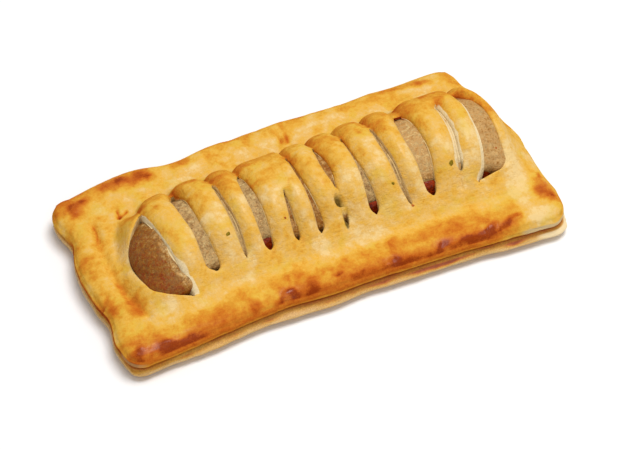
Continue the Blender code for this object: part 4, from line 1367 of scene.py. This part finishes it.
class StageSettings(bpy.types.PropertyGroup):
    """Camera, lights and floor."""

    azimuth: number_property(
        "Azimuth", "Camera angle round the roll; 0 looks along +Y", math.radians(-23.848),
        subtype="ANGLE", unit="ROTATION")
    elevation: number_property(
        "Elevation", "Camera angle above the horizon", math.radians(48.682),
        subtype="ANGLE", unit="ROTATION")
    distance: number_property(
        "Distance", "Camera to the point it looks at", 0.86515, subtype="DISTANCE", unit="LENGTH")
    focal_mm: number_property("Focal length", "Lens in millimetres", 140.0, min=20.0, max=300.0)
    floor: colour_property("Floor", "Pale floor", (0.9, 0.888, 0.884))
    sky: number_property("Sky", "Strength of the light from all round", 0.42, min=0.0, max=5.0)
    key: number_property(
        "Key", "Power of the large soft light overhead, in watts", 14.2, min=0.0, max=200.0)
    fill: number_property(
        "Fill", "Power of the soft light at the front, in watts", 1.2, min=0.0, max=200.0)


# ---------------------------------------------------------------- operators

# The stage, in metres: half the floor, (size, place) of each lamp, and the point that the camera
# looks at, whose place in front of the middle is a share of the roll's width.
FLOOR_HALF = 3.0
LAMPS = {"key": (0.8, (0.3, 0.02, 1.28)), "fill": (0.6, (-0.1, -0.75, 0.75))}
AIM_X = -0.00048
AIM_FORWARD = 0.12
AIM_Z = 0.010
SENSOR_MM = 36.0


class UpperSheetMake(bpy.types.Operator):
    """Make the upper sheet of pastry, with its rim, arch, strips and cuts"""

    bl_idname = "sausage_roll.upper_sheet"
    bl_label = "Upper sheet"

    def execute(self, context):
        look = crust_finish(context.scene.roll_crust)
        attach(upper_sheet_solid().build("upper_sheet", look), "pastry_top")
        return {"FINISHED"}


class LowerSheetMake(bpy.types.Operator):
    """Make the lower sheet of pastry that everything lies on"""

    bl_idname = "sausage_roll.lower_sheet"
    bl_label = "Lower sheet"

    def execute(self, context):
        look = base_finish(context.scene.roll_crust)
        attach(lower_sheet_solid().build("lower_sheet", look), "pastry_base")
        return {"FINISHED"}


class SausageMake(bpy.types.Operator):
    """Make the sausage"""

    bl_idname = "sausage_roll.sausage"
    bl_label = "Sausage"

    def execute(self, context):
        look = meat_finish(context.scene.roll_meat)
        attach(sausage_solid().build("cooked_sausage", look, 80), "sausage")
        return {"FINISHED"}


class SauceMake(bpy.types.Operator):
    """Make the sauce beside and under the sausage"""

    bl_idname = "sausage_roll.sauce"
    bl_label = "Sauce"

    def execute(self, context):
        look = sauce_finish(context.scene.roll_sauce)
        attach(sauce_solid().build("thick_sauce", look), "sauce")
        return {"FINISHED"}


class BitsMake(bpy.types.Operator):
    """Make the bits of herb and spice on the crust"""

    bl_idname = "sausage_roll.bits"
    bl_label = "Herbs and spices"

    def execute(self, context):
        look = context.scene.roll_bits
        ground = [bpy.data.objects[name] for name in ("upper_sheet", "cooked_sausage")]
        context.view_layer.update()
        herbs = bit_finish("herb", look.herb_dark, look.herb_light)
        attach(bits_solid(HERBS, ground, 61).build("herb_bits", herbs), None)
        spices = bit_finish("spice", look.spice_dark, look.spice_light)
        attach(bits_solid(SPICES, ground, 62).build("spice_bits", spices), None)
        return {"FINISHED"}


class StageMake(bpy.types.Operator):
    """Make the floor, the lights and the camera"""

    bl_idname = "sausage_roll.stage"
    bl_label = "Stage"

    def execute(self, context):
        look = context.scene.roll_stage
        self.make_floor(context, look)
        self.make_lights(context, look)
        self.make_camera(context, look)
        context.scene.view_settings.view_transform = "Standard"
        return {"FINISHED"}

    def make_floor(self, context, look):
        mesh = bpy.data.meshes.new("floor")
        corners = [(side_x * FLOOR_HALF, side_y * FLOOR_HALF, 0.0)
                   for side_x, side_y in ((-1, -1), (1, -1), (1, 1), (-1, 1))]
        mesh.from_pydata(corners, [], [(0, 1, 2, 3)])
        finish = Finish("floor", Base_Color=(*look.floor, 1.0), Roughness=0.8, Specular_IOR_Level=0.1)
        mesh.materials.append(finish.material)
        floor = bpy.data.objects.new("floor", mesh)
        context.scene.collection.objects.link(floor)

    def make_lights(self, context, look):
        world = bpy.data.worlds.new("studio")
        world.use_nodes = True
        background = world.node_tree.nodes["Background"]
        background.inputs["Color"].default_value = (1.0, 1.0, 1.0, 1.0)
        background.inputs["Strength"].default_value = look.sky
        context.scene.world = world
        for name, (size, place) in LAMPS.items():
            lamp = bpy.data.lights.new(name, "AREA")
            lamp.energy = getattr(look, name)
            lamp.shape = "DISK"
            lamp.size = size
            light = bpy.data.objects.new(name, lamp)
            light.location = place
            light.rotation_euler = (-Vector(place)).to_track_quat("-Z", "Y").to_euler()
            context.scene.collection.objects.link(light)

    def make_camera(self, context, look):
        """Looks at a point a little in front of the middle and above the floor."""
        low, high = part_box("pastry_base")
        middle = (low.y + high.y) / 2.0
        target = Vector((AIM_X, middle - AIM_FORWARD * (high.y - low.y), AIM_Z))
        direction = Vector((math.sin(look.azimuth) * math.cos(look.elevation),
                            -math.cos(look.azimuth) * math.cos(look.elevation),
                            math.sin(look.elevation)))
        data = bpy.data.cameras.new("camera")
        data.lens = look.focal_mm
        data.sensor_width = SENSOR_MM
        camera = bpy.data.objects.new("camera", data)
        camera.location = target + direction * look.distance
        camera.rotation_euler = (-direction).to_track_quat("-Z", "Y").to_euler()
        context.scene.collection.objects.link(camera)
        context.scene.camera = camera


class RollPanel(bpy.types.Panel):
    """Lists the pieces of the sausage roll and its stage"""

    bl_idname = "VIEW3D_PT_sausage_roll"
    bl_label = "Sausage roll"
    bl_space_type = "VIEW_3D"
    bl_region_type = "UI"
    bl_category = "Sausage roll"

    def draw(self, context):
        for operator in OPERATORS:
            self.layout.operator(operator.bl_idname)


SETTINGS = {
    "roll_crust": CrustSettings,
    "roll_meat": MeatSettings,
    "roll_sauce": SauceSettings,
    "roll_bits": BitSettings,
    "roll_stage": StageSettings,
}
OPERATORS = (LowerSheetMake, SauceMake, SausageMake, UpperSheetMake, BitsMake, StageMake)


def register():
    for name, group in SETTINGS.items():
        bpy.utils.register_class(group)
        setattr(bpy.types.Scene, name, bpy.props.PointerProperty(type=group))
    for operator in OPERATORS:
        bpy.utils.register_class(operator)
    bpy.utils.register_class(RollPanel)


def unregister():
    bpy.utils.unregister_class(RollPanel)
    for operator in reversed(OPERATORS):
        bpy.utils.unregister_class(operator)
    for name, group in SETTINGS.items():
        delattr(bpy.types.Scene, name)
        bpy.utils.unregister_class(group)


def main():
    register()
    bpy.ops.sausage_roll.lower_sheet()
    bpy.ops.sausage_roll.sauce()
    bpy.ops.sausage_roll.sausage()
    bpy.ops.sausage_roll.upper_sheet()
    bpy.ops.sausage_roll.bits()
    bpy.ops.sausage_roll.stage()


if __name__ == "__main__":
    main()
